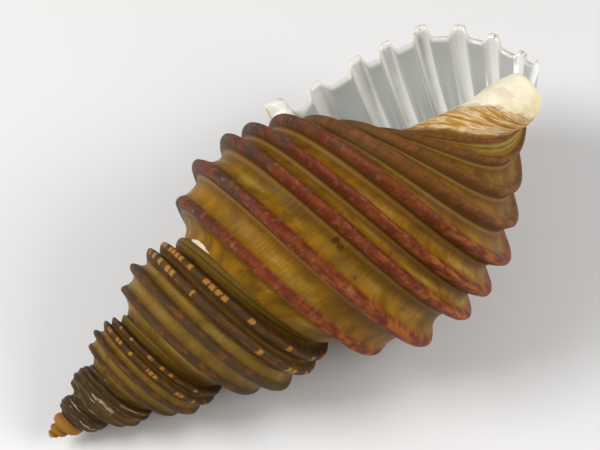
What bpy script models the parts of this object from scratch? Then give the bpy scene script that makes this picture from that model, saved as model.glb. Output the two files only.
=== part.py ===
"""Right-handed sea snail shell with spiral cords, lying on its back side with the aperture to one side.

The shell is one closed body. Its wall is laid out on a grid of turns (along the coil) and
places across the whorl (from the seam down to the tip of the columella). The same rule of growth
makes every whorl: radius and height both grow by a fixed share per turn.
Lengths are in millimetres in the constants and in metres in the mesh.
"""
import math

import bmesh
import bpy
import numpy as np
from mathutils import Vector

MM = 0.001

# Growth of the coil, per turn and per turn squared
RADIUS_GROWTH = 0.392
RADIUS_GROWTH_SLOWING = -0.011
HEIGHT_GROWTH = 0.487
HEIGHT_GROWTH_SLOWING = -0.005
FIRST_TURN = -7.6
TIP_ABOVE_FIRST_TURN = 0.12

# Cords across the whorl at turn zero: radius from the axis, distance down from the pole of the coil
CORD_RADII = (17.3, 20.5, 21.0, 20.2, 18.5, 15.5, 12.3, 8.7, 6.1)
CORD_HEIGHTS = (39.5, 45.3, 51.5, 55.4, 59.8, 63.4, 66.2, 68.6, 70.1)
# Share by which each further cord of the base is drawn in over the first half turn
BASE_DRAWN_IN = 0.07
BASE_FIRST_CORD = 5.0
BASE_DRAWN_CORDS = 3.0
BASE_DRAWN_TURNS = 0.5
# Depth of the hollow below each cord, from the one between seam and first cord
HOLLOW_DEPTHS = (0.6, 2.0, 2.7, 2.3, 2.6, 2.2, 1.7, 1.3, 0.8, 0.3)
CORD_WIDTH = 0.24
CORDS_START_TURN = -3.3
CORDS_FULL_TURN = -2.2
SMOOTH_WHORL_SHARE = 0.12
WORN_SHARE = 0.45

# Seam: its place among the cords of the whorl above, and how far it wanders over one turn
SEAM_PLACE = 5.0
SEAM_WANDER = 0.25
RAMP_HOLLOW = 0.25

# Columella end: a rounded knob set beside the axis, with a waist above it
KNOB_SHIFT = 2.3
KNOB_RADIUS = 4.25
KNOB_TIP_RADIUS = 3.4
KNOB_END = 95.8
# Radius and distance from the pole over the last turn: start, then shares of turn and turn squared
WAIST_RADIUS = (1.7, 15.4, -10.1)
WAIST_HEIGHT = (82.4, 3.45, 28.3)
KNOB_HEIGHT = (90.0, 0.2, 13.0)
KNOB_EDGE_HEIGHT = (94.6, 1.0, 0.0)
LAST_CORD = 9.0
WAIST = 10.0
KNOB = 11.0
KNOB_EDGE = 12.0

# Aperture: the turn where each place of the outer lip ends, from the seam down to the knob edge
LIP_PLACES = (0.0, 0.7, 1.0, 1.4, 2.0, 3.0, 4.0, 5.0, 6.0, 7.0, 8.0, 9.0, 10.0, 11.0, 12.0)
LIP_TURNS = (0.93, 0.935, 0.928, 0.885, 0.876, 0.868, 0.865, 0.865, 0.855, 0.833,
             0.787, 0.747, 0.655, 0.59, 0.57)
LIP_TOOTH = 0.003
LIP_HOLLOW_SHARE = 0.42
LIP_FADE_TURNS = 0.14
LIP_RISE = 1.4
LIP_RISE_TURNS = 0.12
LIP_RISE_PLACE = 1.8
TOOTH_FROM_SHARE = 0.93
INNER_LIP_TURNS = (-0.07, -0.085, -0.10, -0.11, -0.12, -0.13, -0.12, -0.12)
LIP_EDGE_THICKNESS = 0.75
WALL_THICKNESS = 1.35
CALLUS_THICKNESS = 0.55
COLUMELLA_RADIUS = 2.9
LUMEN_DEPTH_TURNS = 2.6
LUMEN_LEAST_SCALE = 0.45
LUMEN_CORNER_DROP = 0.55
LUMEN_CORD_SHARE = 0.8
LUMEN_CORD_FADE_TURNS = 0.5
LUMEN_FULL_TURN = 0.8
LUMEN_GROWTH_AHEAD = 0.3
LUMEN_SETTLED_TURNS = 0.4
LUMEN_CLOSED_TURNS = 0.1
WALL_FULL_TURNS = 0.12
# Offsets under the seam and at the last cord, as shares of the wall
CORNER_OFFSET = (0.8, 1.1)
FLOOR_OFFSET = 0.8
COLUMELLA_RISE = 3.0
FOOT_TURNS = (0.64, 0.72, 0.80)
LIP_KNOB_THICKNESS = 0.9
EVEN_TURN = 0.72
# Near the canal the inner wall starts from the edge drawn in towards the canal's middle
EDGE_DRAWN_IN = 0.16
EDGE_PULL_START = 0.3
EDGE_PULL_PLACES = 0.65
CANAL_PLACES = 0.5
RING_DEPTHS = (0.004, 0.035, 0.075, 0.12, 0.19, 0.27)
RING_FADES = np.array((0.2, 0.27, 0.27))
DEEP_POINTS = 22

# Grid: places across the whorl, offsets round each cord, and steps per turn along the coil
CORD_OFFSETS = (-0.34, -0.13, 0.0, 0.13, 0.34)
SEAM_PLACES = [0.0, 0.4]
BELOW_SEAM_PLACES = [4.5, 4.66, 4.87, 5.0, 5.13]
FIRST_BASE_PLACE = 5.45
CANAL_GRID_PLACES = [9.35, 9.7, 10.0, 10.35, 10.7, 11.0, 11.35, 11.7, 12.0]
EARLY_PLACES = np.array((0.0, 0.6, 1.3, 2.2, 3.2, 4.0, 4.6))
EARLY_END = 4.615
EVEN_PLACES = 4.5
EARLY_SPANS = [(FIRST_TURN, -5.0, 10), (-5.0, -3.2, 14)]
SPIRE_SPANS = [(-3.2, -2.0, 16), (-2.0, -1.0, 20)]
SPIRE_STEPS = 25
LAST_WHORL_SHARES = np.array((*np.linspace(0.0, 0.955, 28), 0.985, 1.0))
DEEP_START = 0.06
DEEP_STEPS = 14

# Rest pose: how the shell lies, and how deep the resting spot is worn flat
REST_AZIMUTH = 120.0
REST_TILT = 19.75
WORN_DEPTH = 0.4

TAU = 2.0 * math.pi


def radius_scale(turn):
    """Radius of the whorl at this turn over its radius at turn zero."""
    return np.exp(RADIUS_GROWTH * turn + RADIUS_GROWTH_SLOWING * turn * turn)


def height_scale(turn):
    """Distance from the pole at this turn over the distance at turn zero."""
    return np.exp(HEIGHT_GROWTH * turn + HEIGHT_GROWTH_SLOWING * turn * turn)


def smooth_step(value):
    """Ease from nought to one."""
    share = np.clip(value, 0.0, 1.0)
    return share * share * (3.0 - 2.0 * share)


def spline(knots, places):
    """Smooth curve through equally spaced knots, the first knot at place one."""
    knots = np.asarray(knots, float)
    extended = np.concatenate([[2 * knots[0] - knots[1]], knots, [2 * knots[-1] - knots[-2]]])
    position = np.clip(np.asarray(places, float) - 1.0, 0.0, len(knots) - 1 - 1e-9)
    index = position.astype(int)
    part = position - index
    before, start, end, after = (extended[index + shift] for shift in range(4))
    return 0.5 * (2 * start + (end - before) * part
                  + (2 * before - 5 * start + 4 * end - after) * part ** 2
                  + (3 * start - before - 3 * end + after) * part ** 3)


def crest_section(place):
    """Radius, distance from the pole, and outward normal of the line over the cord crests."""
    step = 0.02
    inner = np.clip(place, 1.0 + step, LAST_CORD - step)
    slope_radius = spline(CORD_RADII, inner + step) - spline(CORD_RADII, inner - step)
    slope_height = spline(CORD_HEIGHTS, inner + step) - spline(CORD_HEIGHTS, inner - step)
    size = np.hypot(slope_radius, slope_height)
    return (spline(CORD_RADII, place), spline(CORD_HEIGHTS, place),
            slope_height / size, -slope_radius / size)


def cord_strength(turn):
    """Relief of the cords: weak on the worn first whorls, full on the later ones."""
    rise = smooth_step((turn - CORDS_START_TURN) / (CORDS_FULL_TURN - CORDS_START_TURN))
    return SMOOTH_WHORL_SHARE + (1.0 - SMOOTH_WHORL_SHARE) * rise


def cord_profile(place):
    """One on a cord crest, nought in the hollow between two cords."""
    distance = place - np.round(place)
    return np.exp(-(distance / CORD_WIDTH) ** 2)


def hollow_depth(place):
    """Depth of the hollows at this place across the whorl."""
    return np.interp(place, np.arange(len(HOLLOW_DEPTHS)) + 0.5, HOLLOW_DEPTHS)


def relief(turn, place, share=1.0):
    """How far the wall lies below the crest line."""
    strength = cord_strength(turn)
    fade = smooth_step((turn - lip_turn(place)) / LIP_FADE_TURNS + 1.0)
    depth = hollow_depth(place) * (1.0 - (1.0 - LIP_HOLLOW_SHARE) * fade)
    return depth * (1.0 - cord_profile(place) * strength * share - WORN_SHARE * (1.0 - strength))


def whorl_section(turn, place, inset=0.0, share=1.0):
    """Radius and distance from the pole on the cords, moved inward by an inset."""
    crest_radius, crest_height, normal_radius, normal_height = crest_section(place)
    drop = relief(turn, place, share)
    drawn = BASE_DRAWN_IN * np.clip(place - BASE_FIRST_CORD, 0.0, BASE_DRAWN_CORDS)
    drawn = drawn * np.clip(turn, 0.0, BASE_DRAWN_TURNS)
    radius = (crest_radius - drop * normal_radius) * radius_scale(turn) * (1.0 - drawn)
    radius = radius - inset * normal_radius
    height = (crest_height - drop * normal_height) * height_scale(turn) - inset * normal_height
    lifted = smooth_step((turn - LIP_TURNS[0]) / LIP_RISE_TURNS + 1.0) * smooth_step(LIP_RISE_PLACE - place)
    return radius, height - LIP_RISE * lifted


def seam_place(turn):
    """Where the seam of this turn runs among the cords of the whorl one turn before."""
    return SEAM_PLACE + SEAM_WANDER * np.cos(TAU * turn)


def seam_section(turn):
    """Radius and distance from the pole of the seam."""
    return whorl_section(turn - 1.0, seam_place(turn))


def upper_section(turn, place, inset=0.0, share=1.0):
    """Section of the whorl from the seam down to the last cord."""
    turn = np.asarray(turn, float) + 0.0 * np.asarray(place, float)
    place = np.asarray(place, float) + 0.0 * turn
    radius, height = whorl_section(turn, np.maximum(place, 1.0), inset, share)
    seam_radius, seam_height = seam_section(turn)
    first_radius, first_height = whorl_section(turn, np.ones_like(turn), 0.0, share)
    along = np.clip(place, 0.0, 1.0)
    across_radius = first_height - seam_height
    across_height = seam_radius - first_radius
    size = np.hypot(across_radius, across_height)
    scale = radius_scale(turn)
    flank = np.exp(-((1.0 - along) / CORD_WIDTH) ** 2)
    sag = 4.0 * along * (1.0 - along) * RAMP_HOLLOW * scale
    sag = sag + hollow_depth(0.5) * scale * (1.0 - flank) * smooth_step(along * 3.0)
    sag = sag + inset
    ramp_radius = seam_radius + along * (first_radius - seam_radius) - sag * across_radius / size
    ramp_height = seam_height + along * (first_height - seam_height) - sag * across_height / size
    on_ramp = place < 1.0
    return np.where(on_ramp, ramp_radius, radius), np.where(on_ramp, ramp_height, height)


def point(turn, radius, height):
    """Point in the shell's own frame: apex up, growing clockwise as seen from the apex."""
    angle = -TAU * turn
    return np.stack([radius * np.cos(angle), radius * np.sin(angle), -height + 0.0 * radius], axis=-1)


def knob_point(turn, radius, height):
    """Point on the knob of the columella, round its own line beside the axis."""
    moved = point(turn, radius, height)
    moved[..., 0] -= KNOB_SHIFT
    return moved


def along_turn(start_and_shares, turn):
    """Start, plus a share of the turn, plus a share of the turn squared."""
    start, share, square_share = start_and_shares
    return start + share * turn + square_share * turn ** 2


def base_rings(turn):
    """Points at the last cord, waist, knob and knob edge."""
    radius, height = whorl_section(turn, np.full_like(turn, LAST_CORD))
    last = point(turn, radius, height)
    waist = point(turn, along_turn(WAIST_RADIUS, turn), along_turn(WAIST_HEIGHT, turn))
    knob = knob_point(turn, KNOB_RADIUS + 0.0 * turn, along_turn(KNOB_HEIGHT, turn))
    edge = knob_point(turn, KNOB_TIP_RADIUS + 0.0 * turn, along_turn(KNOB_EDGE_HEIGHT, turn))
    return np.stack([last, waist, knob, edge])


def outer_point(turn, place):
    """Point on the outside of the shell at a turn and a place across the whorl."""
    turn = np.atleast_1d(np.asarray(turn, float))
    place = np.atleast_1d(np.asarray(place, float)) + 0.0 * turn
    turn = turn + 0.0 * place
    radius, height = upper_section(turn, np.minimum(place, LAST_CORD))
    result = point(turn, radius, height)
    low = place > LAST_CORD
    if np.any(low):
        rings = base_rings(turn[low])
        before = np.concatenate([[point(turn[low], *whorl_section(turn[low], np.full(low.sum(), 8.0)))],
                                 rings, [2 * rings[3] - rings[2]]])
        position = np.clip(place[low] - LAST_CORD, 0.0, 3.0 - 1e-9)
        index = position.astype(int)
        part = (position - index)[:, None]
        column = np.arange(low.sum())
        first, start, end, after = (before[index + shift, column] for shift in range(4))
        result[low] = 0.5 * (2 * start + (end - first) * part
                             + (2 * first - 5 * start + 4 * end - after) * part ** 2
                             + (3 * start - first - 3 * end + after) * part ** 3)
    return result


def lip_turn(place):
    """Turn at which the outer lip ends, without its teeth."""
    return np.interp(place, LIP_PLACES, LIP_TURNS)


def start_turn(place, corner_place):
    """Turn at which the base of the last whorl starts, along the inner lip."""
    knots = [corner_place, 6.0, 7.0, 8.0, LAST_CORD, WAIST, KNOB, KNOB_EDGE]
    return np.interp(place, knots, INNER_LIP_TURNS)


class MeshBuilder:
    """Collects points and faces of the one closed wall."""

    def __init__(self):
        self.points = []
        self.faces = []

    def add(self, points):
        """Add points (rows of x, y, z) and return their numbers."""
        points = np.asarray(points, float).reshape(-1, 3)
        first = len(self.points)
        self.points.extend(points.tolist())
        return list(range(first, first + len(points)))

    def face(self, *corners):
        """Add a face unless two of its corners are the same point."""
        corners = [corner for position, corner in enumerate(corners)
                   if corner != corners[position - 1]]
        if len(set(corners)) > 2:
            self.faces.append(tuple(corners))

    def grid(self, rows):
        """Join rows of equally many points with four-sided faces."""
        for upper, lower in zip(rows, rows[1:]):
            for left in range(len(upper) - 1):
                self.face(upper[left], upper[left + 1], lower[left + 1], lower[left])

    def zip_lines(self, first, first_at, second, second_at):
        """Join two lines of different point counts, in step with their positions along them."""
        left, right = 0, 0
        while left < len(first) - 1 or right < len(second) - 1:
            move_left = right == len(second) - 1
            if not move_left and left < len(first) - 1:
                move_left = first_at[left + 1] <= second_at[right + 1]
            if move_left:
                self.face(first[left], first[left + 1], second[right])
                left += 1
            else:
                self.face(first[left], second[right + 1], second[right])
                right += 1


def cord_places(first, last, offsets):
    """Places across the whorl between two cords, set round each cord by the offsets."""
    places = []
    for cord in range(int(first), int(last) + 1):
        places.extend(cord + offset for offset in offsets)
    return [place for place in places if first <= place <= last]


def turn_steps(bounds):
    """Turns from a list of (start, end, steps per turn)."""
    turns = []
    for start, end, per_turn in bounds:
        count = max(1, round((end - start) * per_turn))
        turns.extend(np.linspace(start, end, count, endpoint=False))
    turns.append(bounds[-1][1])
    return np.array(turns)


def build_shell():
    """Build the wall of the shell and return its points and faces."""
    mesh = MeshBuilder()
    corner_turn = LIP_TURNS[0] - 1.0
    corner_place = float(seam_place(LIP_TURNS[0]))

    upper_places = SEAM_PLACES + cord_places(0.6, 4.34, CORD_OFFSETS) + BELOW_SEAM_PLACES + [corner_place]
    lower_places = [FIRST_BASE_PLACE] + cord_places(5.6, LAST_CORD, CORD_OFFSETS) + CANAL_GRID_PLACES

    # Worn early whorls, few points across
    early_turns = turn_steps(EARLY_SPANS)[:-1]
    early_places = EARLY_PLACES

    def stretched_row(turn, places, end):
        limit = float(seam_place(turn + 1.0))
        stretch = (limit - EVEN_PLACES) / (end - EVEN_PLACES)
        places = np.where(places <= EVEN_PLACES, places, EVEN_PLACES + (places - EVEN_PLACES) * stretch)
        return outer_point(np.full(len(places), turn), places)

    early_rows = [mesh.add(stretched_row(turn, early_places, EARLY_END)) for turn in early_turns]
    mesh.grid(early_rows)

    # Corded spire, down to the corner of the aperture
    spire_turns = turn_steps(SPIRE_SPANS + [(SPIRE_SPANS[-1][1], corner_turn, SPIRE_STEPS)])
    spire_places = np.array(upper_places[:-1])
    spire_rows = [mesh.add(stretched_row(turn, spire_places, corner_place)) for turn in spire_turns]
    mesh.grid(spire_rows)
    mesh.zip_lines(early_rows[-1], early_places / early_places[-1],
                   spire_rows[0], spire_places / spire_places[-1])

    # Last whorl, from the inner lip round to the outer lip
    last_places = np.array(upper_places + lower_places)
    corner_column = len(upper_places) - 1
    starts = np.where(last_places <= corner_place, corner_turn, start_turn(last_places, corner_place))
    lips = lip_turn(last_places)
    ribbed = last_places <= LAST_CORD + CORD_OFFSETS[-1]
    teeth = np.where(ribbed, LIP_TOOTH * (cord_profile(last_places) * 2.0 - 1.0), 0.0)
    teeth[0] = 0.0
    last_rows = []
    for share in LAST_WHORL_SHARES:
        tooth_share = smooth_step((share - TOOTH_FROM_SHARE) / (1.0 - TOOTH_FROM_SHARE))
        turns = starts + (lips - starts) * share + teeth * tooth_share
        if share == 0.0:
            row = list(spire_rows[-1])
            row += mesh.add(outer_point(turns[corner_column:], last_places[corner_column:]))
        else:
            row = mesh.add(outer_point(turns, last_places))
        last_rows.append(row)
    # The seam ends at the corner of the aperture: both are one point
    corner = last_rows[0][corner_column]
    last_rows[-1][0] = corner
    mesh.grid(last_rows)
    # The knob is round: its end goes on past the lip to where it started
    tip = mesh.add([[-KNOB_SHIFT, 0.0, -KNOB_END]])[0]
    foot_turns = np.array(FOOT_TURNS)
    foot = mesh.add(outer_point(foot_turns, np.full(len(foot_turns), KNOB_EDGE)))
    knob_edge = [row[-1] for row in last_rows] + foot + [last_rows[0][-1]]
    for before, after in zip(knob_edge, knob_edge[1:]):
        mesh.face(before, tip, after)

    # Seams: the lowest line of each whorl meets the highest line of the next one
    seam_line = [row[0] for row in early_rows] + [row[0] for row in spire_rows]
    seam_line += [row[0] for row in last_rows[1:]]
    seam_at = np.concatenate([early_turns, spire_turns,
                              corner_turn + (LIP_TURNS[0] - corner_turn) * LAST_WHORL_SHARES[1:]])
    hem_line = [row[-1] for row in early_rows] + [row[-1] for row in spire_rows] + [corner]
    hem_at = np.concatenate([early_turns, spire_turns, [corner_turn + 1e-6]]) + 1.0
    begin = int(np.searchsorted(seam_at, hem_at[0]))
    mesh.zip_lines(hem_line, hem_at, seam_line[begin:], seam_at[begin:])
    first_seam_height = float(seam_section(np.array([FIRST_TURN]))[1][0])
    apex = mesh.add([[0.0, 0.0, TIP_ABOVE_FIRST_TURN - first_seam_height]])[0]
    opening = early_rows[0][::-1] + seam_line[1:begin + 1] + [early_rows[0][-1]]
    for left, right in zip(opening, opening[1:]):
        mesh.face(left, right, apex)

    # Edge of the aperture: down the outer lip, round the knob, up the inner lip
    lip_keys, lip_at = last_places[1:], lips[1:] + teeth[1:]
    inner_ring = last_rows[0][corner_column + 1:][::-1]
    inner_keys = last_places[corner_column + 1:][::-1]
    inner_at = starts[corner_column + 1:][::-1] + 1.0
    ring = [corner] + last_rows[-1][1:] + foot + inner_ring
    add_lumen(mesh, ring, LipRing(lip_keys, lip_at, inner_keys, inner_at, corner_place))
    return np.array(mesh.points), mesh.faces


class LipRing:
    """Edge of the aperture, point by point: down the outer lip, over the knob, up the inner lip."""

    def __init__(self, lip_places, lip_turns, inner_places, inner_turns, corner_place):
        self.lip_places = np.array(lip_places)
        self.lip_turns = np.array(lip_turns)
        self.inner_places = np.array(inner_places)
        self.inner_turns = np.array(inner_turns)
        self.corner_place = corner_place

    def all_turns(self):
        """Turn of every point: corner, outer lip, knob, inner lip."""
        return np.concatenate([[LIP_TURNS[0]], self.lip_turns, FOOT_TURNS, self.inner_turns])

    def past_last_cord(self):
        """How far each point lies past the last cord, on the canal and the knob."""
        foot_places = np.full(len(FOOT_TURNS), KNOB_EDGE + 1.0)
        ends = np.concatenate([[0.0], self.lip_places, foot_places, self.inner_places])
        return np.maximum(ends - LAST_CORD, 0.0)

    def inner_wall(self, depth):
        """Turn, radius and height of the inner wall, a number of turns inside the edge."""
        settle = smooth_step(depth / LUMEN_SETTLED_TURNS)
        even_turn = EVEN_TURN - depth
        turns = (self.all_turns() - depth) * (1.0 - settle) + even_turn * settle
        foot_at = 1 + len(self.lip_places)
        inner_at = foot_at + len(FOOT_TURNS)
        lip_turns, foot_turns, inner_turns = turns[1:foot_at], turns[foot_at:inner_at], turns[inner_at:]
        thicker = smooth_step(depth / WALL_FULL_TURNS)
        wall = LIP_EDGE_THICKNESS + (WALL_THICKNESS - LIP_EDGE_THICKNESS) * thicker
        share = LUMEN_CORD_SHARE * (1.0 - smooth_step(depth / LUMEN_CORD_FADE_TURNS))
        grown_turn = min(LUMEN_FULL_TURN, even_turn + LUMEN_GROWTH_AHEAD)
        scale = float(radius_scale(grown_turn) / radius_scale(LUMEN_FULL_TURN))
        scale = max(LUMEN_LEAST_SCALE, scale)
        thick, callus, column = wall * scale, -CALLUS_THICKNESS * scale, COLUMELLA_RADIUS * scale

        # Corner under the seam, let down a little along the whorl before
        closing = smooth_step(depth / LUMEN_CLOSED_TURNS)
        lowered = seam_place(turns[0]) + LUMEN_CORNER_DROP * closing
        corner = np.array(seam_section(turns[0])) + np.array(CORNER_OFFSET) * thick
        corner += (np.array(whorl_section(turns[0] - 1.0, lowered, callus)) - corner) * closing

        # Inside of the outer wall, straight above the first cord
        places = np.minimum(self.lip_places, LAST_CORD)
        knob = LIP_KNOB_THICKNESS * smooth_step(LIP_RISE_PLACE - places) * (1.0 - thicker)
        outer = np.array(upper_section(lip_turns, places, thick + knob, share))
        ramp = places < 1.0
        first = np.array(upper_section(lip_turns[ramp], np.ones(ramp.sum()), thick, share))
        straight = corner[:, None] + (first - corner[:, None]) * places[ramp]
        outer[:, ramp] += (straight - outer[:, ramp]) * closing

        # Floor: from the inside of the last cord to the foot of the columella
        floor_share = np.maximum(self.lip_places - LAST_CORD, 0.0) / (KNOB_EDGE + 1.0 - LAST_CORD)
        outer[0] -= thick * FLOOR_OFFSET * smooth_step((self.lip_places - LAST_CORD) * 2.0 + 1.0)
        outer[0] += (column - outer[0]) * floor_share
        foot = np.array([column + 0.0 * foot_turns, upper_section(foot_turns, LAST_CORD, thick, share)[1]])

        # Columella, then the callus over the whorl before
        places = np.minimum(self.inner_places, LAST_CORD)
        shift = (LAST_CORD - places) / (LAST_CORD - self.corner_place)
        places = places + shift * (lowered - self.corner_place) * closing
        inner = np.array(upper_section(inner_turns - 1.0, places, callus))
        rise = np.maximum(self.inner_places - LAST_CORD, 0.0) / (KNOB_EDGE + 1.0 - LAST_CORD)
        floor_height = upper_section(inner_turns, np.full(len(inner_turns), LAST_CORD), thick, share)[1]
        inner[0] += (column - inner[0]) * np.minimum(rise * COLUMELLA_RISE, 1.0)
        inner[1] += (floor_height - inner[1]) * rise
        section = np.concatenate([corner[:, None], outer, foot, inner], axis=1)
        return np.concatenate([turns[None], section])


def add_lumen(mesh, ring, lip_ring):
    """Close the wall with the hollow that runs from the aperture up the coil."""
    edge = np.array([mesh.points[number] for number in ring])
    past = lip_ring.past_last_cord()
    pull = np.where(past > 0.0, smooth_step((past + EDGE_PULL_START) / EDGE_PULL_PLACES), 0.0)
    centre = edge[past > CANAL_PLACES].mean(axis=0)
    drawn = edge.copy()
    drawn[:, :2] += (centre - edge)[:, :2] * EDGE_DRAWN_IN
    at_edge = lip_ring.inner_wall(0.0)
    drawn_turns = -np.arctan2(drawn[:, 1], drawn[:, 0]) / TAU
    drawn_turns += np.round(at_edge[0] - drawn_turns)
    drawn_wall = np.stack([drawn_turns, np.hypot(drawn[:, 0], drawn[:, 1]), -drawn[:, 2]])
    offset = (drawn_wall - at_edge) * pull
    rows = [list(ring)]
    for depth in RING_DEPTHS:
        fade = 1.0 - smooth_step(depth / RING_FADES)
        turns, radius, height = lip_ring.inner_wall(depth) + offset * fade[:, None]
        rows.append(mesh.add(point(turns, radius, height)))
    closed = [row + [row[0]] for row in rows]
    mesh.grid([row[::-1] for row in closed])

    # Deeper in, fewer points round the tube
    count = len(ring)
    step_turns = turn_steps([(RING_DEPTHS[-1] + DEEP_START, LUMEN_DEPTH_TURNS, DEEP_STEPS)])
    picks = np.unique(np.round(np.linspace(0, count - 1, DEEP_POINTS)).astype(int))
    previous, previous_at = closed[-1], np.arange(count + 1) / count
    for depth in step_turns:
        turns, radius, height = lip_ring.inner_wall(depth)[:, picks]
        row = mesh.add(point(turns, radius, height))
        row_at = np.append(picks / count, 1.0)
        mesh.zip_lines(row + [row[0]], row_at, previous, previous_at)
        previous, previous_at = row + [row[0]], row_at
    end = np.mean([mesh.points[number] for number in previous[:-1]], axis=0)
    last = mesh.add([end])[0]
    for left, right in zip(previous, previous[1:]):
        mesh.face(left, last, right)


def rest_matrix():
    """Rows are the ground frame's axes: +X along the shell towards its canal, +Z up."""
    azimuth, tilt = math.radians(REST_AZIMUTH), math.radians(REST_TILT)
    up = -Vector((math.cos(tilt) * math.cos(azimuth), math.cos(tilt) * math.sin(azimuth), math.sin(tilt)))
    canal = Vector((0.0, 0.0, -1.0))
    along = (canal - up * canal.dot(up)).normalized()
    return np.array([along, up.cross(along), up])


def lay_down(points):
    """Lay the shell so that its worn resting spot comes to the ground plane."""
    placed = points @ rest_matrix().T
    placed[:, 2] -= placed[:, 2].min() + WORN_DEPTH
    middle = (placed.min(axis=0) + placed.max(axis=0)) / 2.0
    placed[:, :2] -= middle[:2]
    return placed * MM


def wear_flat(work):
    """Cut off what lies below the ground plane and close the cut."""
    geometry = work.verts[:] + work.edges[:] + work.faces[:]
    cut = bmesh.ops.bisect_plane(work, geom=geometry, dist=1e-7, plane_co=(0.0, 0.0, 0.0),
                                 plane_no=(0.0, 0.0, 1.0), clear_inner=True)
    rim = [item for item in cut["geom_cut"] if isinstance(item, bmesh.types.BMEdge)]
    bmesh.ops.edgenet_fill(work, edges=rim)


def principled(name, colour, roughness):
    """Plain surface material with a base colour and a roughness."""
    material = bpy.data.materials.new(name)
    material.use_nodes = True
    shader = material.node_tree.nodes["Principled BSDF"]
    shader.inputs["Base Color"].default_value = (*colour, 1.0)
    shader.inputs["Roughness"].default_value = roughness
    shader.inputs["Metallic"].default_value = 0.0
    return material


def main():
    """Clear the scene and build the shell."""
    for item in list(bpy.data.objects):
        bpy.data.objects.remove(item, do_unlink=True)
    collection = bpy.data.collections.new("sea_snail_shell")
    bpy.context.scene.collection.children.link(collection)
    points, faces = build_shell()
    mesh = bpy.data.meshes.new("shell")
    mesh.from_pydata(lay_down(points).tolist(), [], faces)
    work = bmesh.new()
    work.from_mesh(mesh)
    wear_flat(work)
    bmesh.ops.triangulate(work, faces=work.faces[:])
    bmesh.ops.recalc_face_normals(work, faces=work.faces[:])
    work.to_mesh(mesh)
    work.free()
    mesh.update()
    mesh.materials.append(principled("shell_brown", (0.19, 0.085, 0.022), 0.4))
    shell = bpy.data.objects.new("shell", mesh)
    collection.objects.link(shell)


main()
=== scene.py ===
"""Right-handed sea snail shell with spiral cords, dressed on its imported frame.

The shell follows one rule of growth. Geometry Nodes lay its wall out on grids of turns (along the
coil) and places (across the whorl, one place per cord). Both numbers are stored on the surface, with
how far a spot is from the lip, and the finishes read them. Lengths are in millimetres in the rule and in
metres in the finished piece.
"""

import logging
import math
from dataclasses import dataclass
from enum import Enum
from typing import Dict, List, Optional, Sequence, Tuple, Union

import bpy
from mathutils import Matrix, Vector


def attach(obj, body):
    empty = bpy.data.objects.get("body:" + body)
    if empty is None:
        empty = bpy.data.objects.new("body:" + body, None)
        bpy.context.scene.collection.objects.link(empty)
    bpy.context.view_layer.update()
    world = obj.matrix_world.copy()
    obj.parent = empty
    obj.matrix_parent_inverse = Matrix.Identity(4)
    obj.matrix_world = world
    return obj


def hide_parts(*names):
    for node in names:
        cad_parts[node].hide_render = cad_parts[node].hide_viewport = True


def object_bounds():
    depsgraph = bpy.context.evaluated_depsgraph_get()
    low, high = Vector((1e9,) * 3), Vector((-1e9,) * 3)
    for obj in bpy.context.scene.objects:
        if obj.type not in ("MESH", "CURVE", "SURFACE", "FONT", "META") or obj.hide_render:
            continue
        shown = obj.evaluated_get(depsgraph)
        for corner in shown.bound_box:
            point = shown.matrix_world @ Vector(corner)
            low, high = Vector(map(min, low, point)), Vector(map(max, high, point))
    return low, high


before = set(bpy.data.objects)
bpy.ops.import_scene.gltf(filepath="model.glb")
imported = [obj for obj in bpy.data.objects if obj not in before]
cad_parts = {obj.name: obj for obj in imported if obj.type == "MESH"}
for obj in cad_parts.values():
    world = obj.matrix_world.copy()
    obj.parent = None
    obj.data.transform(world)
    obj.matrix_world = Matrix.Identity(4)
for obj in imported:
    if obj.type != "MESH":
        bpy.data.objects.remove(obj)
log = logging.getLogger("shell")

MM = 0.001
TAU = 2.0 * math.pi

# Turns over which the old brown whorls pass into the last one
OLD_TURNS = (-0.5, -0.1)
# Places from which the cords of the old whorls are broad, and from which the cords belong to the base
BROAD_FROM = 2.5
BASE_FROM = 5.5

Span = Tuple[float, float]
Triple = Tuple[float, float, float]
Material = bpy.types.Material
Number = Union[float, int, "Field"]
Colour = Union[str, "Field"]


class Mark(Enum):
    """Numbers stored on the shell for its finishes to read."""

    TURN = "turn"
    PLACE = "place"
    DEPTH = "depth"
    TO_LIP = "to_lip"
    INNER = "inner"


class Tree:
    """Adds nodes with their settings and links to one node tree."""

    def __init__(self, tree: bpy.types.NodeTree) -> None:
        self.tree = tree

    def node(self, kind: str, inputs: Optional[dict] = None, **settings) -> bpy.types.Node:
        """Add a node.

        Args:
            kind: the node's type name.
            inputs: socket name or number to a value, a socket or a field.
            settings: properties of the node, set before its inputs.

        Returns:
            The new node.
        """
        node = self.tree.nodes.new(kind)
        for name, value in settings.items():
            setattr(node, name, value)
        for key, value in (inputs or {}).items():
            self.plug(node.inputs[key], value)
        return node

    def plug(self, socket: bpy.types.NodeSocket, value: object) -> None:
        """Link a field or an output to a socket, or set the socket's own value."""
        if isinstance(value, Field):
            value = value.socket
        if isinstance(value, bpy.types.NodeSocket):
            self.tree.links.new(value, socket)
        else:
            socket.default_value = value

    def value(self, kind: str, inputs: Optional[dict] = None, output: Union[int, str] = 0,
              **settings) -> "Field":
        """Add a node and return one of its outputs as a field."""
        return Field(self, self.node(kind, inputs, **settings).outputs[output])

    def vector(self, *parts: Number) -> "Field":
        """Join two or three numbers to a vector."""
        return self.value("ShaderNodeCombineXYZ", dict(enumerate(parts)))

    def math(self, operation: str, *values: Number) -> "Field":
        """Add a math node."""
        return self.value("ShaderNodeMath", dict(enumerate(values)), operation=operation)


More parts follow.
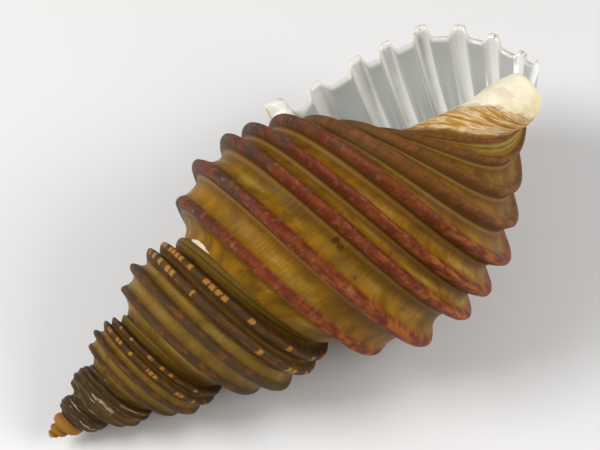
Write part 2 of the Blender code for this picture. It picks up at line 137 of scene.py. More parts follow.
class Field:
    """A number that varies over a surface, written as ordinary arithmetic."""

    def __init__(self, tree: Tree, socket: bpy.types.NodeSocket) -> None:
        self.tree = tree
        self.socket = socket

    def __add__(self, other: Number) -> "Field":
        return self.tree.math("ADD", self, other)

    __radd__ = __add__

    def __sub__(self, other: Number) -> "Field":
        return self.tree.math("SUBTRACT", self, other)

    def __rsub__(self, other: Number) -> "Field":
        return self.tree.math("SUBTRACT", other, self)

    def __mul__(self, other: Number) -> "Field":
        return self.tree.math("MULTIPLY", self, other)

    __rmul__ = __mul__

    def __truediv__(self, other: Number) -> "Field":
        return self.tree.math("DIVIDE", self, other)

    def __rtruediv__(self, other: Number) -> "Field":
        return self.tree.math("DIVIDE", other, self)

    def __neg__(self) -> "Field":
        return self * -1.0

    def math(self, operation: str, *others: Number) -> "Field":
        """Apply a math node's operation to this field."""
        return self.tree.math(operation, self, *others)

    def at_least(self, low: Number) -> "Field":
        """Never below a limit."""
        return self.math("MAXIMUM", low)

    def at_most(self, high: Number) -> "Field":
        """Never above a limit."""
        return self.math("MINIMUM", high)

    def above(self, limit: Number) -> "Field":
        """One where the field is above a limit, else nought."""
        return self.math("GREATER_THAN", limit)

    def below(self, limit: Number) -> "Field":
        """One where the field is below a limit, else nought."""
        return self.math("LESS_THAN", limit)

    def clipped(self, low: float, high: float) -> "Field":
        """Kept between two limits."""
        return self.at_least(low).at_most(high)

    def eased(self, low: float = 0.0, high: float = 1.0) -> "Field":
        """Smooth step from nought at low to one at high."""
        return self.tree.value("ShaderNodeMapRange", {"Value": self, "From Min": low, "From Max": high},
                               interpolation_type="SMOOTHSTEP")

    def toward(self, other: Number, share: Number) -> "Field":
        """Go a share of the way to another number."""
        return self + (other - self) * share

    def bell(self, width: float) -> "Field":
        """Gauss bell round nought."""
        scaled = self * (1.0 / width)
        return (-(scaled * scaled)).math("EXPONENT")


def broadening(cord: Field, turn: Field) -> Field:
    """How much broader a cord is on the old whorls, most of all from the third to the fifth cord."""
    old = 1.0 - turn.eased(*OLD_TURNS)
    return (cord.above(BROAD_FROM) * cord.below(BASE_FROM) + 0.6) * old


class Table:
    """A row of numbers read by whole index, with the neighbours needed for smooth lines."""

    def __init__(self, values: Sequence[float]) -> None:
        self.values = list(values)

    def at(self, index: Field) -> Field:
        """Entry at a whole index."""
        tree = index.tree
        node = tree.node("GeometryNodeIndexSwitch", data_type="FLOAT")
        while len(node.index_switch_items) < len(self.values):
            node.index_switch_items.new()
        tree.plug(node.inputs[0], index)
        for number, value in enumerate(self.values):
            node.inputs[number + 1].default_value = value
        return Field(tree, node.outputs[0])

    def straight(self, position: Field) -> Field:
        """Straight lines between the entries."""
        position = position.clipped(0.0, len(self.values) - 1.0001)
        index = position.math("FLOOR")
        return self.at(index).toward(self.at(index + 1.0), position - index)

    def curve(self, position: Field) -> Field:
        """Smooth curve through the entries, going straight on past both ends."""
        values = self.values
        longer = Table([2 * values[0] - values[1], *values, 2 * values[-1] - values[-2]])
        position = position.clipped(0.0, len(values) - 1.0001)
        index = position.math("FLOOR")
        part = position - index
        before, start, end, after = (longer.at(index + shift) for shift in (0.0, 1.0, 2.0, 3.0))
        cubic = 3.0 * start - before - 3.0 * end + after
        square = 2.0 * before - 5.0 * start + 4.0 * end - after
        return 0.5 * (2.0 * start + part * ((end - before) + part * (square + part * cubic)))


class Group:
    """A node group with number inputs and outputs, built once and used many times."""

    def __init__(self, name: str, inputs: Dict[str, float], outputs: Sequence[str],
                 kind: str = "NodeSocketFloat") -> None:
        self.group = bpy.data.node_groups.new(name, "GeometryNodeTree")
        self.outputs = list(outputs)
        for label, value in inputs.items():
            socket = self.group.interface.new_socket(label, in_out="INPUT", socket_type="NodeSocketFloat")
            socket.default_value = value
        for label in outputs:
            self.group.interface.new_socket(label, in_out="OUTPUT", socket_type=kind)
        self.tree = Tree(self.group)
        start = self.tree.node("NodeGroupInput")
        self.inputs = {label: Field(self.tree, start.outputs[label]) for label in inputs}

    def close(self, *results: Number) -> "Group":
        """Connect the results to the group's outputs."""
        self.tree.node("NodeGroupOutput", dict(zip(self.outputs, results)))
        return self

    def use(self, tree: Tree, **inputs: Number) -> List[Field]:
        """Add the group to another tree and return its outputs."""
        labelled = {label.replace("_", " ").title(): value for label, value in inputs.items()}
        node = tree.node("GeometryNodeGroup", None, node_tree=self.group)
        for label, value in labelled.items():
            tree.plug(node.inputs[label], value)
        return [Field(tree, node.outputs[label]) for label in self.outputs]


@dataclass(frozen=True)
class GrowthRule:
    """Sizes of the shell's rule of growth, in millimetres and turns."""

    radius_growth: float = 0.392
    radius_slowing: float = -0.011
    height_growth: float = 0.487
    height_slowing: float = -0.005
    first_turn: float = -8.57
    tip_height: float = 0.3
    start_flank: float = 2.4
    blunt_apex: float = 0.5
    cord_radii: Tuple[float, ...] = (17.3, 20.5, 21.0, 20.2, 18.5, 15.5, 12.3, 8.7, 6.1)
    cord_heights: Tuple[float, ...] = (39.5, 45.3, 51.5, 55.4, 59.8, 63.4, 66.2, 68.6, 70.1)
    hollow_depths: Tuple[float, ...] = (0.6, 2.0, 2.7, 2.3, 2.6, 2.2, 1.7, 1.3, 0.8, 0.3)
    base_drawn_in: float = 0.07
    base_first_cord: float = 5.0
    base_drawn_cords: float = 3.0
    base_drawn_turns: float = 0.5
    cord_width: float = 0.24
    swell_width: float = 0.27
    bead_width: float = 0.19
    swell_shift: float = 0.06
    bead_share: float = 0.6
    broad_bead: float = 0.1
    narrow_bead: float = 0.04
    tooth_share: float = 0.35
    base_share: float = 0.2
    cords_start: float = -3.3
    cords_full: float = -2.2
    smooth_share: float = 0.12
    worn_share: float = 0.45
    seam_place: float = 5.0
    seam_wander: float = 0.25
    ramp_hollow: float = 0.25
    last_cord: float = 9.0
    knob_edge: float = 12.0
    knob_shift: float = 2.3
    knob_radius: float = 4.25
    knob_tip_radius: float = 3.4
    knob_end: float = 95.8
    waist_radius: Triple = (1.7, 15.4, -10.1)
    waist_height: Triple = (82.4, 3.45, 28.3)
    knob_height: Triple = (90.0, 0.2, 13.0)
    knob_tip_height: Triple = (94.6, 1.0, 0.0)
    lip_places: Tuple[float, ...] = (0.0, 0.7, 1.0, 1.4, 2.0, 3.0, 4.0, 5.0, 6.0, 7.0, 8.0, 9.0, 10.0, 11.0,
                                     12.0)
    lip_turns: Tuple[float, ...] = (0.93, 0.935, 0.928, 0.885, 0.876, 0.868, 0.865, 0.865, 0.855, 0.833,
                                    0.787, 0.747, 0.655, 0.59, 0.57)
    lip_tooth: float = 0.0045
    tooth_flank: Span = (0.18, 0.26)
    lip_hollow_share: float = 0.42
    lip_fade: float = 0.14
    lip_rise: float = 1.4
    lip_rise_turns: float = 0.12
    lip_rise_place: float = 1.8
    inner_lip_places: Tuple[float, ...] = (5.226, 6.0, 7.0, 8.0, 9.0, 10.0, 11.0, 12.0)
    inner_lip_turns: Tuple[float, ...] = (-0.07, -0.085, -0.10, -0.11, -0.12, -0.13, -0.12, -0.12)

    @property
    def corner_turn(self) -> float:
        """Turn of the aperture's corner, one turn before the lip reaches the seam."""
        return self.lip_turns[0] - 1.0

    @property
    def corner_place(self) -> float:
        """Place of the aperture's corner among the cords of the whorl before."""
        return self.seam_place + self.seam_wander * math.cos(TAU * self.lip_turns[0])

    def radius_scale(self, turn: Number) -> Number:
        """Radius at a turn over the radius at turn zero."""
        exponent = turn * self.radius_growth + turn * turn * self.radius_slowing
        return exponent.math("EXPONENT") if isinstance(turn, Field) else math.exp(exponent)

    def height_scale(self, turn: Field) -> Field:
        """Distance from the pole at a turn over the distance at turn zero."""
        return (turn * self.height_growth + turn * turn * self.height_slowing).math("EXPONENT")


@dataclass(frozen=True)
class ApertureRule:
    """Sizes of the wall's edge and of the hollow behind it, in millimetres and turns."""

    edge_thickness: float = 0.75
    wall_thickness: float = 1.35
    knob_thickness: float = 2.3
    callus_thickness: float = 0.55
    columella_radius: float = 2.9
    depth_turns: float = 2.6
    least_scale: float = 0.45
    corner_drop: float = 0.55
    corner_offset: Span = (0.8, 1.1)
    settled_turns: float = 0.4
    full_wall_turns: float = 0.12
    closed_turns: float = 0.1
    growth_ahead: float = 0.3
    full_turn: float = 0.8
    cord_share: float = 0.8
    cord_fade: float = 0.5
    even_turn: float = 0.72
    foot_turns: Span = (0.57, 0.88)
    edge_drawn_in: float = 0.16
    pull_start: float = 0.3
    pull_places: float = 0.65
    rim_bulge: float = 0.0024
    canal_middle: Span = (-1.8, 2.4)
    turn_fade: float = 0.2
    radius_fade: float = 0.27


class SectionGroups:
    """Node groups that give radius and distance from the pole at a turn and a place."""

    INPUTS = {"Turn": 0.0, "Place": 1.0, "Inset": 0.0, "Share": 1.0}

    def __init__(self, rule: GrowthRule, aperture: ApertureRule) -> None:
        self.rule = rule
        self.aperture = aperture
        self.lip = self._lip_line()
        self.cord_line = self._cord_line()
        self.whorl = self._whorl()
        self.upper = self._upper()
        self.outer = self._outer()
        self.inner = self._inner_wall()

    @staticmethod
    def float_curve(tree: Tree, position: Field, places: Sequence[float], values: Sequence[float]) -> Field:
        """Straight lines through pairs of place and value, as one curve node."""
        low, high = places[0], places[-1]
        least, most = min(values), max(values)
        share = (position - low) * (1.0 / (high - low))
        node = tree.node("ShaderNodeFloatCurve", {"Value": share})
        mapping = node.mapping
        mapping.use_clip = False
        curve = mapping.curves[0]
        while len(curve.points) < len(places):
            curve.points.new(0.5, 0.5)
        for point, place, value in zip(curve.points, places, values):
            point.location = ((place - low) / (high - low), (value - least) / (most - least))
            point.handle_type = "VECTOR"
        mapping.update()
        return Field(tree, node.outputs[0]) * (most - least) + least

    def _lip_line(self) -> Group:
        """Turn at which the outer lip ends, at each place."""
        group = Group("Lip line", {"Place": 0.0}, ["Turn"])
        place = group.inputs["Place"]
        rule = self.rule
        return group.close(self.float_curve(group.tree, place, rule.lip_places, rule.lip_turns))

    def _cord_line(self) -> Group:
        """Smooth line over the cord crests at turn zero."""
        group = Group("Cord line", {"Place": 1.0}, ["Radius", "Height"])
        position = group.inputs["Place"] - 1.0
        return group.close(Table(self.rule.cord_radii).curve(position),
                           Table(self.rule.cord_heights).curve(position))

    def cord_profile(self, place: Field, turn: Field, near_lip: Field) -> Field:
        """One on a cord crest, nought in the hollow between two cords, with a steep-sided bead on top.

        Args:
            place: place across the whorl.
            turn: turn along the coil.
            near_lip: nought away from the lip, one at the lip, where the cords end in square teeth.

        Returns:
            The height of the profile.
        """
        rule = self.rule
        cord = place.math("ROUND")
        aside = place - cord
        swell = (aside - rule.swell_shift).bell(rule.swell_width)
        broad = broadening(cord, turn) * rule.broad_bead
        base = cord.above(BASE_FROM) * (1.0 - near_lip)
        bead_part = aside / (rule.bead_width + broad - base * rule.narrow_bead)
        square = bead_part * bead_part
        round_power = square * square
        power = round_power.toward(round_power * round_power, near_lip)
        bead = (-power).math("EXPONENT")
        share = (near_lip * rule.tooth_share + base * rule.base_share) + rule.bead_share
        return swell * (1.0 - share) + bead * share

    def _whorl(self) -> Group:
        """Section of a whorl from its first to its last cord."""
        rule = self.rule
        group = Group("Whorl section", self.INPUTS, ["Radius", "Height"])
        tree = group.tree
        turn, place, inset, share = group.inputs.values()
        crest_radius, crest_height = self.cord_line.use(tree, place=place)
        step = 0.02
        middle = place.clipped(1.0 + step, rule.last_cord - step)
        next_radius, next_height = self.cord_line.use(tree, place=middle + step)
        last_radius, last_height = self.cord_line.use(tree, place=middle - step)
        slope_radius, slope_height = next_radius - last_radius, next_height - last_height
        size = (slope_radius * slope_radius + slope_height * slope_height).math("SQRT")
        normal_radius, normal_height = slope_height / size, -(slope_radius / size)
        corded = turn.eased(rule.cords_start, rule.cords_full)
        strength = corded * (1.0 - rule.smooth_share) + rule.smooth_share
        lip_turn, = self.lip.use(tree, place=place)
        fade = ((turn - lip_turn) / rule.lip_fade + 1.0).eased()
        depth = Table(rule.hollow_depths).straight(place - 0.5) * (1.0 - (1.0 - rule.lip_hollow_share) * fade)
        profile = self.cord_profile(place, turn, fade)
        drop = depth * (1.0 - profile * strength * share - rule.worn_share * (1.0 - strength))
        drawn = (place - rule.base_first_cord).clipped(0.0, rule.base_drawn_cords)
        drawn = drawn * turn.clipped(0.0, rule.base_drawn_turns) * rule.base_drawn_in
        radius = (crest_radius - drop * normal_radius) * rule.radius_scale(turn) * (1.0 - drawn)
        height = (crest_height - drop * normal_height) * rule.height_scale(turn)
        lifted = ((turn - rule.lip_turns[0]) / rule.lip_rise_turns + 1.0).eased()
        lifted = lifted * (rule.lip_rise_place - place).eased()
        return group.close(radius - inset * normal_radius,
                           height - inset * normal_height - lifted * rule.lip_rise)

    def seam_place(self, turn: Field) -> Field:
        """Where the seam of this turn runs among the cords of the whorl one turn before."""
        return (turn * TAU).math("COSINE") * self.rule.seam_wander + self.rule.seam_place

    def seam(self, tree: Tree, turn: Field) -> List[Field]:
        """Radius and distance from the pole of the seam."""
        before = (turn - 1.0).at_least(self.rule.first_turn)
        return self.whorl.use(tree, turn=before, place=self.seam_place(turn))

    def _upper(self) -> Group:
        """Section from the seam down to the last cord."""
        rule = self.rule
        group = Group("Upper section", self.INPUTS, ["Radius", "Height"])
        tree = group.tree
        turn, place, inset, share = group.inputs.values()
        radius, height = self.whorl.use(tree, turn=turn, place=place.at_least(1.0), inset=inset, share=share)
        seam_radius, seam_height = self.seam(tree, turn)
        first_radius, first_height = self.whorl.use(tree, turn=turn, place=1.0, share=share)
        along = place.clipped(0.0, 1.0)
        across_radius, across_height = first_height - seam_height, seam_radius - first_radius
        size = (across_radius * across_radius + across_height * across_height).math("SQRT").at_least(1e-6)
        scale = rule.radius_scale(turn)
        flank = (1.0 - along).bell(rule.cord_width)
        sag = along * (1.0 - along) * 4.0 * rule.ramp_hollow * scale + inset
        sag = sag + scale * (1.0 - flank) * (along * 3.0).eased() * rule.hollow_depths[0]
        ramp_radius = seam_radius.toward(first_radius, along) - sag * across_radius / size
        ramp_height = seam_height.toward(first_height, along) - sag * across_height / size
        on_ramp = place.below(1.0)
        return group.close(radius.toward(ramp_radius, on_ramp), height.toward(ramp_height, on_ramp))

    @staticmethod
    def point(tree: Tree, turn: Number, radius: Number, height: Number, shift: float = 0.0) -> Field:
        """Point in the shell's own frame: apex up, growing clockwise as seen from the apex."""
        angle = turn * -TAU
        return tree.vector(angle.math("COSINE") * radius - shift, angle.math("SINE") * radius, -height)

    @staticmethod
    def bent(turn: Field, terms: Triple) -> Field:
        """Number that changes over the last turn by a share of the turn and a share of its square."""
        start, slope, bend = terms
        return start + turn * (slope + bend * turn)

    def _outer(self) -> Group:
        """Point on the outside at a turn and a place, with the base, waist and knob of the columella."""
        rule = self.rule
        group = Group("Outer wall", {"Turn": 0.0, "Place": 1.0}, ["Point"], "NodeSocketVector")
        tree = group.tree
        turn, place = group.inputs["Turn"], group.inputs["Place"]
        radius, height = self.upper.use(tree, turn=turn, place=place.at_most(rule.last_cord))
        upper = self.point(tree, turn, radius, height)
        rings = [self.point(tree, turn, *self.whorl.use(tree, turn=turn, place=8.0)),
                 self.point(tree, turn, *self.whorl.use(tree, turn=turn, place=rule.last_cord)),
                 self.point(tree, turn, self.bent(turn, rule.waist_radius),
                            self.bent(turn, rule.waist_height)),
                 self.point(tree, turn, rule.knob_radius, self.bent(turn, rule.knob_height), rule.knob_shift),
                 self.point(tree, turn, rule.knob_tip_radius, self.bent(turn, rule.knob_tip_height),
                            rule.knob_shift)]
        rings.append(self.blend(tree, (2.0, rings[4]), (-1.0, rings[3])))
        position = (place - rule.last_cord).clipped(0.0, 2.9999)
        index = position.math("FLOOR")
        part = position - index
        chosen = []
        for shift in range(4):
            node = tree.node("GeometryNodeIndexSwitch", data_type="VECTOR")
            node.index_switch_items.new()
            tree.plug(node.inputs[0], index)
            for number in range(3):
                tree.plug(node.inputs[number + 1], rings[number + shift])
            chosen.append(Field(tree, node.outputs[0]))
        square, cube = part * part, part * part * part
        weights = [square - 0.5 * (part + cube), 1.0 - 2.5 * square + 1.5 * cube,
                   0.5 * part + 2.0 * square - 1.5 * cube, 0.5 * (cube - square)]
        low = self.blend(tree, *zip(weights, chosen))
        mixed = tree.value("ShaderNodeMix", {"Factor": place.above(rule.last_cord), 4: upper, 5: low},
                           output=1, data_type="VECTOR")
        return group.close(mixed)

    @staticmethod
    def blend(tree: Tree, *terms: Tuple[Number, Field]) -> Field:
        """Sum of points, each times its weight."""
        total = None
        for weight, vector in terms:
            scaled = tree.value("ShaderNodeVectorMath", {0: vector, "Scale": weight}, operation="SCALE")
            total = scaled if total is None else tree.value("ShaderNodeVectorMath", {0: total, 1: scaled})
        return total

    def _inner_wall(self) -> Group:
        """Turn, radius and height of the inner wall, a number of turns inside the edge."""
        rule, size = self.rule, self.aperture
        labels = {"Edge Turn": 0.9, "Place": 1.0, "Foot": 0.0, "Inner": 0.0, "Depth": 0.0}
        group = Group("Inner wall", labels, ["Turn", "Radius", "Height"])
        tree = group.tree
        edge_turn, place, foot, inner, depth = group.inputs.values()
        settle = depth.eased(0.0, size.settled_turns)
        even = size.even_turn - depth
        turn = (edge_turn - depth).toward(even, settle)
        corner_turn = (rule.lip_turns[0] - depth).toward(even, settle)
        full = depth.eased(0.0, size.full_wall_turns)
        wall = full * (size.wall_thickness - size.edge_thickness) + size.edge_thickness
        share = (1.0 - depth.eased(0.0, size.cord_fade)) * size.cord_share
        scale = rule.radius_scale((even + size.growth_ahead).at_most(size.full_turn))
        scale = scale * (1.0 / rule.radius_scale(size.full_turn))
        scale = scale.at_least(size.least_scale)
        thick, callus, column = wall * scale, scale * -size.callus_thickness, scale * size.columella_radius
        closing = depth.eased(0.0, size.closed_turns)
        lowered = self.seam_place(corner_turn) + closing * size.corner_drop
        seam_radius, seam_height = self.seam(tree, corner_turn)
        low_radius, low_height = self.whorl.use(tree, turn=corner_turn - 1.0, place=lowered, inset=callus)
        corner_radius = (seam_radius + thick * size.corner_offset[0]).toward(low_radius, closing)
        corner_height = (seam_height + thick * size.corner_offset[1]).toward(low_height, closing)

        places = place.at_most(rule.last_cord)
        knob = (rule.lip_rise_place - places).eased() * (1.0 - full) * size.knob_thickness
        radius, height = self.upper.use(tree, turn=turn, place=places, inset=thick + knob, share=share)
        first_radius, first_height = self.upper.use(tree, turn=turn, place=1.0, inset=thick, share=share)
        on_ramp = places.below(1.0) * closing
        radius = radius.toward(corner_radius.toward(first_radius, places), on_ramp)
        height = height.toward(corner_height.toward(first_height, places), on_ramp)
        past = (place - rule.last_cord).at_least(0.0) * 0.25
        radius = radius - thick * size.corner_offset[0] * ((place - rule.last_cord) * 2.0 + 1.0).eased()
        radius = radius.toward(column, past)

        foot_height = self.upper.use(tree, turn=turn, place=rule.last_cord, inset=thick, share=share)[1]
        shift = (rule.last_cord - places) * (1.0 / (rule.last_cord - rule.corner_place))
        inner_places = places + shift * (lowered - rule.corner_place) * closing
        inner_radius, inner_height = self.upper.use(tree, turn=turn - 1.0, place=inner_places, inset=callus)
        inner_radius = inner_radius.toward(column, (past * 3.0).at_most(1.0))
        inner_height = inner_height.toward(foot_height, past)
        radius = radius.toward(column, foot).toward(inner_radius, inner)
        height = height.toward(foot_height, foot).toward(inner_height, inner)
        return group.close(turn, radius, height)


def linear(code: str) -> Tuple[float, float, float, float]:
    """Turn an sRGB hex code into a linear colour with full alpha."""
    parts = [int(code[start:start + 2], 16) / 255.0 for start in (1, 3, 5)]
    curved = [part / 12.92 if part <= 0.04045 else ((part + 0.055) / 1.055) ** 2.4 for part in parts]
    return (*curved, 1.0)


@dataclass(frozen=True)
class Grain:
    """One uneven pattern: patches per step along and across, its own layer of noise and its finer steps."""

    along: float
    across: float
    layer: float
    detail: float = 2.0

    def on(self, along: Field, across: Field) -> Field:
        """Pattern over two marks, evenly round one half."""
        tree = along.tree
        spot = tree.vector(along * self.along, across * self.across, self.layer)
        return tree.value("ShaderNodeTexNoise", {"Vector": spot, "Scale": 1.0, "Detail": self.detail,
                                                 "Roughness": 0.6})


class Finish:
    """What the finishes share: a fresh material, the marks stored on the shell and coats of colour."""

    @staticmethod
    def start(name: str) -> Tuple[Material, Tree]:
        """Make a material without nodes.

        Args:
            name: the real material and how its surface was made.

        Returns:
            The material and its empty tree.
        """
        material = bpy.data.materials.new(name)
        material.use_nodes = True
        material.node_tree.nodes.clear()
        return material, Tree(material.node_tree)

    @staticmethod
    def mark(tree: Tree, mark: Mark) -> Field:
        """Number stored on the shell."""
        return tree.value("ShaderNodeAttribute", None, "Fac", attribute_name=mark.value)

    @staticmethod
    def painted(under: Colour, *coats: Tuple[Colour, Field]) -> Field:
        """Lay coats of colour over one another.

        Args:
            under: colour of the ground.
            coats: colour and share of each coat, the lowest first.

        Returns:
            The colour on top.
        """
        for top, share in coats:
            low, high = (linear(colour) if isinstance(colour, str) else colour for colour in (under, top))
            under = share.tree.value("ShaderNodeMix", {0: share, 6: low, 7: high}, output=2, data_type="RGBA")
        return under

    @staticmethod
    def close(tree: Tree, colour: Field, rough: Number, height: Field, **surface: float) -> None:
        """End a finish with its shader.

        Args:
            tree: the material's tree.
            colour: colour of the surface.
            rough: roughness of the surface.
            height: fine relief in millimetres.
            surface: the shader's other inputs, with underscores for spaces.
        """
        relief = tree.value("ShaderNodeBump", {"Height": height, "Distance": MM, "Strength": 1.0})
        inputs = {"Base Color": colour, "Roughness": rough, "Normal": relief}
        inputs.update({label.replace("_", " "): value for label, value in surface.items()})
        shader = tree.node("ShaderNodeBsdfPrincipled", inputs)
        tree.node("ShaderNodeOutputMaterial", {"Surface": shader.outputs[0]})


@dataclass(frozen=True)
class CordedPeriostracum(Finish):
    """Horny skin, grown with the wall in fine lines across each turn.

    It gives the eye satin olive and gold hollows with fine growth lines, red-brown cords blotched
    orange and dark, older turns worn to dark brown, and a bare cream knob with a flaky golden band.
    Some light is painted in too: highlights in the hollows and on the cords, painted shade before
    each next cord and a painted shadow line under each cord.
    Spans of turns and places are pairs: where a change starts and where it is complete.
    """

    hollow_gold: str = "#9c6e17"
    hollow_olive: str = "#725917"
    hollow_brown_and_shade: str = "#57360e"
    hollow_highlight: str = "#b3974c"
    growth_line_and_shade: str = "#4a3012"
    crest_red: str = "#692c19"
    crest_orange: str = "#a85e28"
    crest_dark: str = "#41342b"
    crest_highlight_pink: str = "#a58873"
    crest_base: str = "#684820"
    thread_gold: str = "#b98f48"
    old_crest: str = "#4a3823"
    old_crest_rust: str = "#7a451b"
    old_blotch: str = "#b07c30"
    old_hollow: str = "#76581d"
    old_highlight: str = "#a58b42"
    young_dark: str = "#3f3020"
    young_olive: str = "#66502e"
    worn_patch: str = "#b4b294"
    tip_tan: str = "#a06f2f"
    tip_white: str = "#dcd8ca"
    band_gold: str = "#c2913a"
    band_brown: str = "#8d6224"
    band_pale: str = "#e6dac0"
    band_pink: str = "#c09a86"
    groove_yellow: str = "#b09a48"
    knob_cream: str = "#f2ead0"
    knob_yellow: str = "#ecdc9a"

    growth_lines: Grain = Grain(374.0, 1.3, 11.0, 1.0)
    growth_waves: Grain = Grain(90.0, 0.7, 12.0)
    spiral_threads: Grain = Grain(5.0, 26.0, 15.0)
    cord_patches: Grain = Grain(20.0, 7.3, 1.0, 5.0)
    cord_mottle: Grain = Grain(70.0, 13.0, 16.0, 4.0)
    cord_lines: Grain = Grain(330.0, 1.5, 2.0)
    cord_streaks: Grain = Grain(42.0, 5.0, 22.0, 4.0)
    highlight_flecks: Grain = Grain(110.0, 6.0, 17.0, 4.0)
    base_patches: Grain = Grain(60.0, 2.7, 3.0)
    rust_patches: Grain = Grain(34.0, 4.0, 4.0, 4.0)
    blotch_crowds: Grain = Grain(5.0, 3.7, 18.0, 1.0)
    hollow_clouds: Grain = Grain(26.0, 0.9, 6.0, 3.0)
    olive_clouds: Grain = Grain(9.0, 1.7, 7.0)
    highlight_streaks: Grain = Grain(12.0, 1.3, 19.0, 3.0)
    young_mottle: Grain = Grain(16.0, 2.2, 8.0, 4.0)
    young_patches: Grain = Grain(7.0, 1.1, 9.0, 4.0)
    patch_edge: Grain = Grain(60.0, 6.0, 10.0, 4.0)
    speck_edge: Grain = Grain(500.0, 22.0, 21.0, 3.0)
    band_edge: Grain = Grain(22.0, 3.0, 13.0, 4.0)
    band_flakes: Grain = Grain(1.0, 4.6, 14.0, 7.0)
    knob_blush: Grain = Grain(6.0, 1.6, 20.0, 3.0)

    blotches_per_turn: float = 74.0
    line_relief: float = 0.07
    corded_turns: Span = (-3.0, -2.3)
    coloured_turns: Span = (-2.85, -2.45)
    tan_turns: Span = (-4.4, -4.3)
    white_turns: Span = (-7.4, -7.1)
    red_turns: Span = (0.08, 0.24)
    orange_turns: Span = (0.22, 0.42)
    base_orange_turns: Span = (0.3, 0.5)
    base_places: Span = (4.4, 6.6)
    band_places: Span = (9.15, 9.4)
    seam_patch: Span = (0.115, 0.03)
    specks: Tuple[Triple, ...] = ((0.268, 2.62, 1.0), (0.277, 2.57, 0.8),
                                                      (0.312, 2.3, 0.6))

    def _crest(self, turn: Field, place: Field, cord: Field, old: Field) -> Field:
        """Colours along the cords, cut across by growth lines, with painted highlight flecks."""
        mottle = self.cord_mottle.on(turn, place)
        patches = self.cord_patches.on(turn, cord) - 0.08
        patches = patches.toward(0.72, turn.eased(*self.red_turns) * 0.6)
        patches = (patches + (mottle - 0.5) * 0.35).eased(0.36, 0.58)
        stripes = self.cord_lines.on(turn, place) * 0.2 + self.cord_streaks.on(turn, place) * 0.8
        orange = stripes.eased(0.43, 0.6) * (turn.eased(*self.orange_turns) * 0.65 + 0.2)
        # Painted highlight: pale pink glints flecked along the cords
        glint = self.highlight_flecks.on(turn, place).eased(0.52, 0.7)
        red = self.painted(self.crest_dark, (self.crest_red, patches), (self.crest_orange, orange),
                           (self.crest_highlight_pink, glint * 0.25))
        orange = stripes.eased(0.45, 0.65) * (turn.eased(*self.base_orange_turns) * 0.35 + 0.25)
        dark = self.base_patches.on(turn, cord).eased(0.5, 0.7)
        base = self.painted(self.crest_base, (self.crest_orange, orange), (self.crest_dark, dark * 0.4))
        rust = self.rust_patches.on(turn, place)
        worn = self.painted(
            self.old_crest, (self.old_crest_rust, rust.eased(0.48, 0.66) * 0.75),
            (self.crest_orange, mottle.eased(0.58, 0.72) * rust.eased(0.4, 0.6) * 0.6),
            (self.old_blotch, self._blotches(turn, place, cord, mottle)),
            (self.hollow_olive, cord.above(4.5) * 0.8))
        return self.painted(red, (base, cord.eased(*self.base_places) * 0.85), (worn, old))

    def _blotches(self, turn: Field, place: Field, cord: Field, mottle: Field) -> Field:
        """Golden squares on the third and fourth cord of the older whorls, crowded on one side."""
        tree = turn.tree
        steps = turn * self.blotches_per_turn + cord * 0.37 + (mottle - 0.5) * 0.6
        cell = tree.vector(steps.math("FLOOR"), cord)
        chance = tree.value("ShaderNodeTexWhiteNoise", {"Vector": cell}, noise_dimensions="2D")
        along = (steps - steps.math("FLOOR") - 0.5).math("ABSOLUTE") + (mottle - 0.5) * 0.3
        across = (place - cord).math("ABSOLUTE") + (mottle - 0.5) * 0.2
        filled = (1.0 - along.eased(0.3, 0.42)) * (1.0 - across.eased(0.12, 0.18))
        crowd = self.blotch_crowds.on(turn, cord).eased(0.4, 0.62)
        picked = (chance - 0.9 + crowd * 0.36).above(0.0) * cord.above(BROAD_FROM) * cord.below(4.5)
        return filled * picked * 0.85

    def _hollow(self, turn: Field, place: Field, old: Field) -> Field:
        """Olive and gold ground between the cords, with a painted highlight and painted shade in each hollow.
        """
        past_cord = place - place.math("FLOOR")
        clouds = self.hollow_clouds.on(turn, place)
        highlight = self.highlight_streaks.on(turn, place).eased(0.5, 0.68)
        colour = self.painted(
            self.hollow_brown_and_shade, (self.hollow_gold, clouds.eased(0.2, 0.7)),
            (self.hollow_olive, self.olive_clouds.on(turn, place).eased(0.46, 0.68) * 0.7),
            # Painted shade on the side of each hollow just before the next cord
            (self.hollow_brown_and_shade, past_cord.eased(0.4, 0.75) * 0.85),
            (self.hollow_brown_and_shade, place.eased(4.5, 6.5) * 0.3),
            # Painted highlight: a pale streak about a third of the way across each hollow
            (self.hollow_highlight, (past_cord - 0.34).bell(0.13) * highlight * 0.6))
        # On the older whorls the hollow's own colour fills the middle. The darker brown next to the cords on
        # both flanks is painted shade, and it is dark ground in cloudy patches and past the third cord. A
        # painted highlight runs down the middle of the hollows before the third cord.
        ground = clouds.eased(0.25, 0.52) * (past_cord - 0.52).bell(0.34)
        ground = ground * (1.0 - place.eased(3.0, 3.3) * 0.5)
        middle = (past_cord - 0.45).bell(0.17) * (0.3 + highlight * 0.4) * place.below(3.0)
        older = self.painted(self.growth_line_and_shade, (self.old_hollow, ground),
                             (self.old_highlight, middle * turn.eased(-2.6, -1.2)))
        return self.painted(colour, (older, old * 0.85))

    def _first_turns(self, turn: Field, place: Field, colour: Field) -> Field:
        """Smooth dark first turns with worn patches, and the tan tip with its white end."""
        dark = self.painted(
            self.young_dark, (self.young_olive, self.young_mottle.on(turn, place).eased(0.45, 0.68) * 0.8),
            (self.worn_patch, self.young_patches.on(turn, place).eased(0.6, 0.64) * 0.8))
        colour = self.painted(dark, (colour, turn.eased(*self.coloured_turns)))
        colour = self.painted(self.tip_tan, (colour, turn.eased(*self.tan_turns)))
        return self.painted(self.tip_white, (colour, turn.eased(*self.white_turns)))

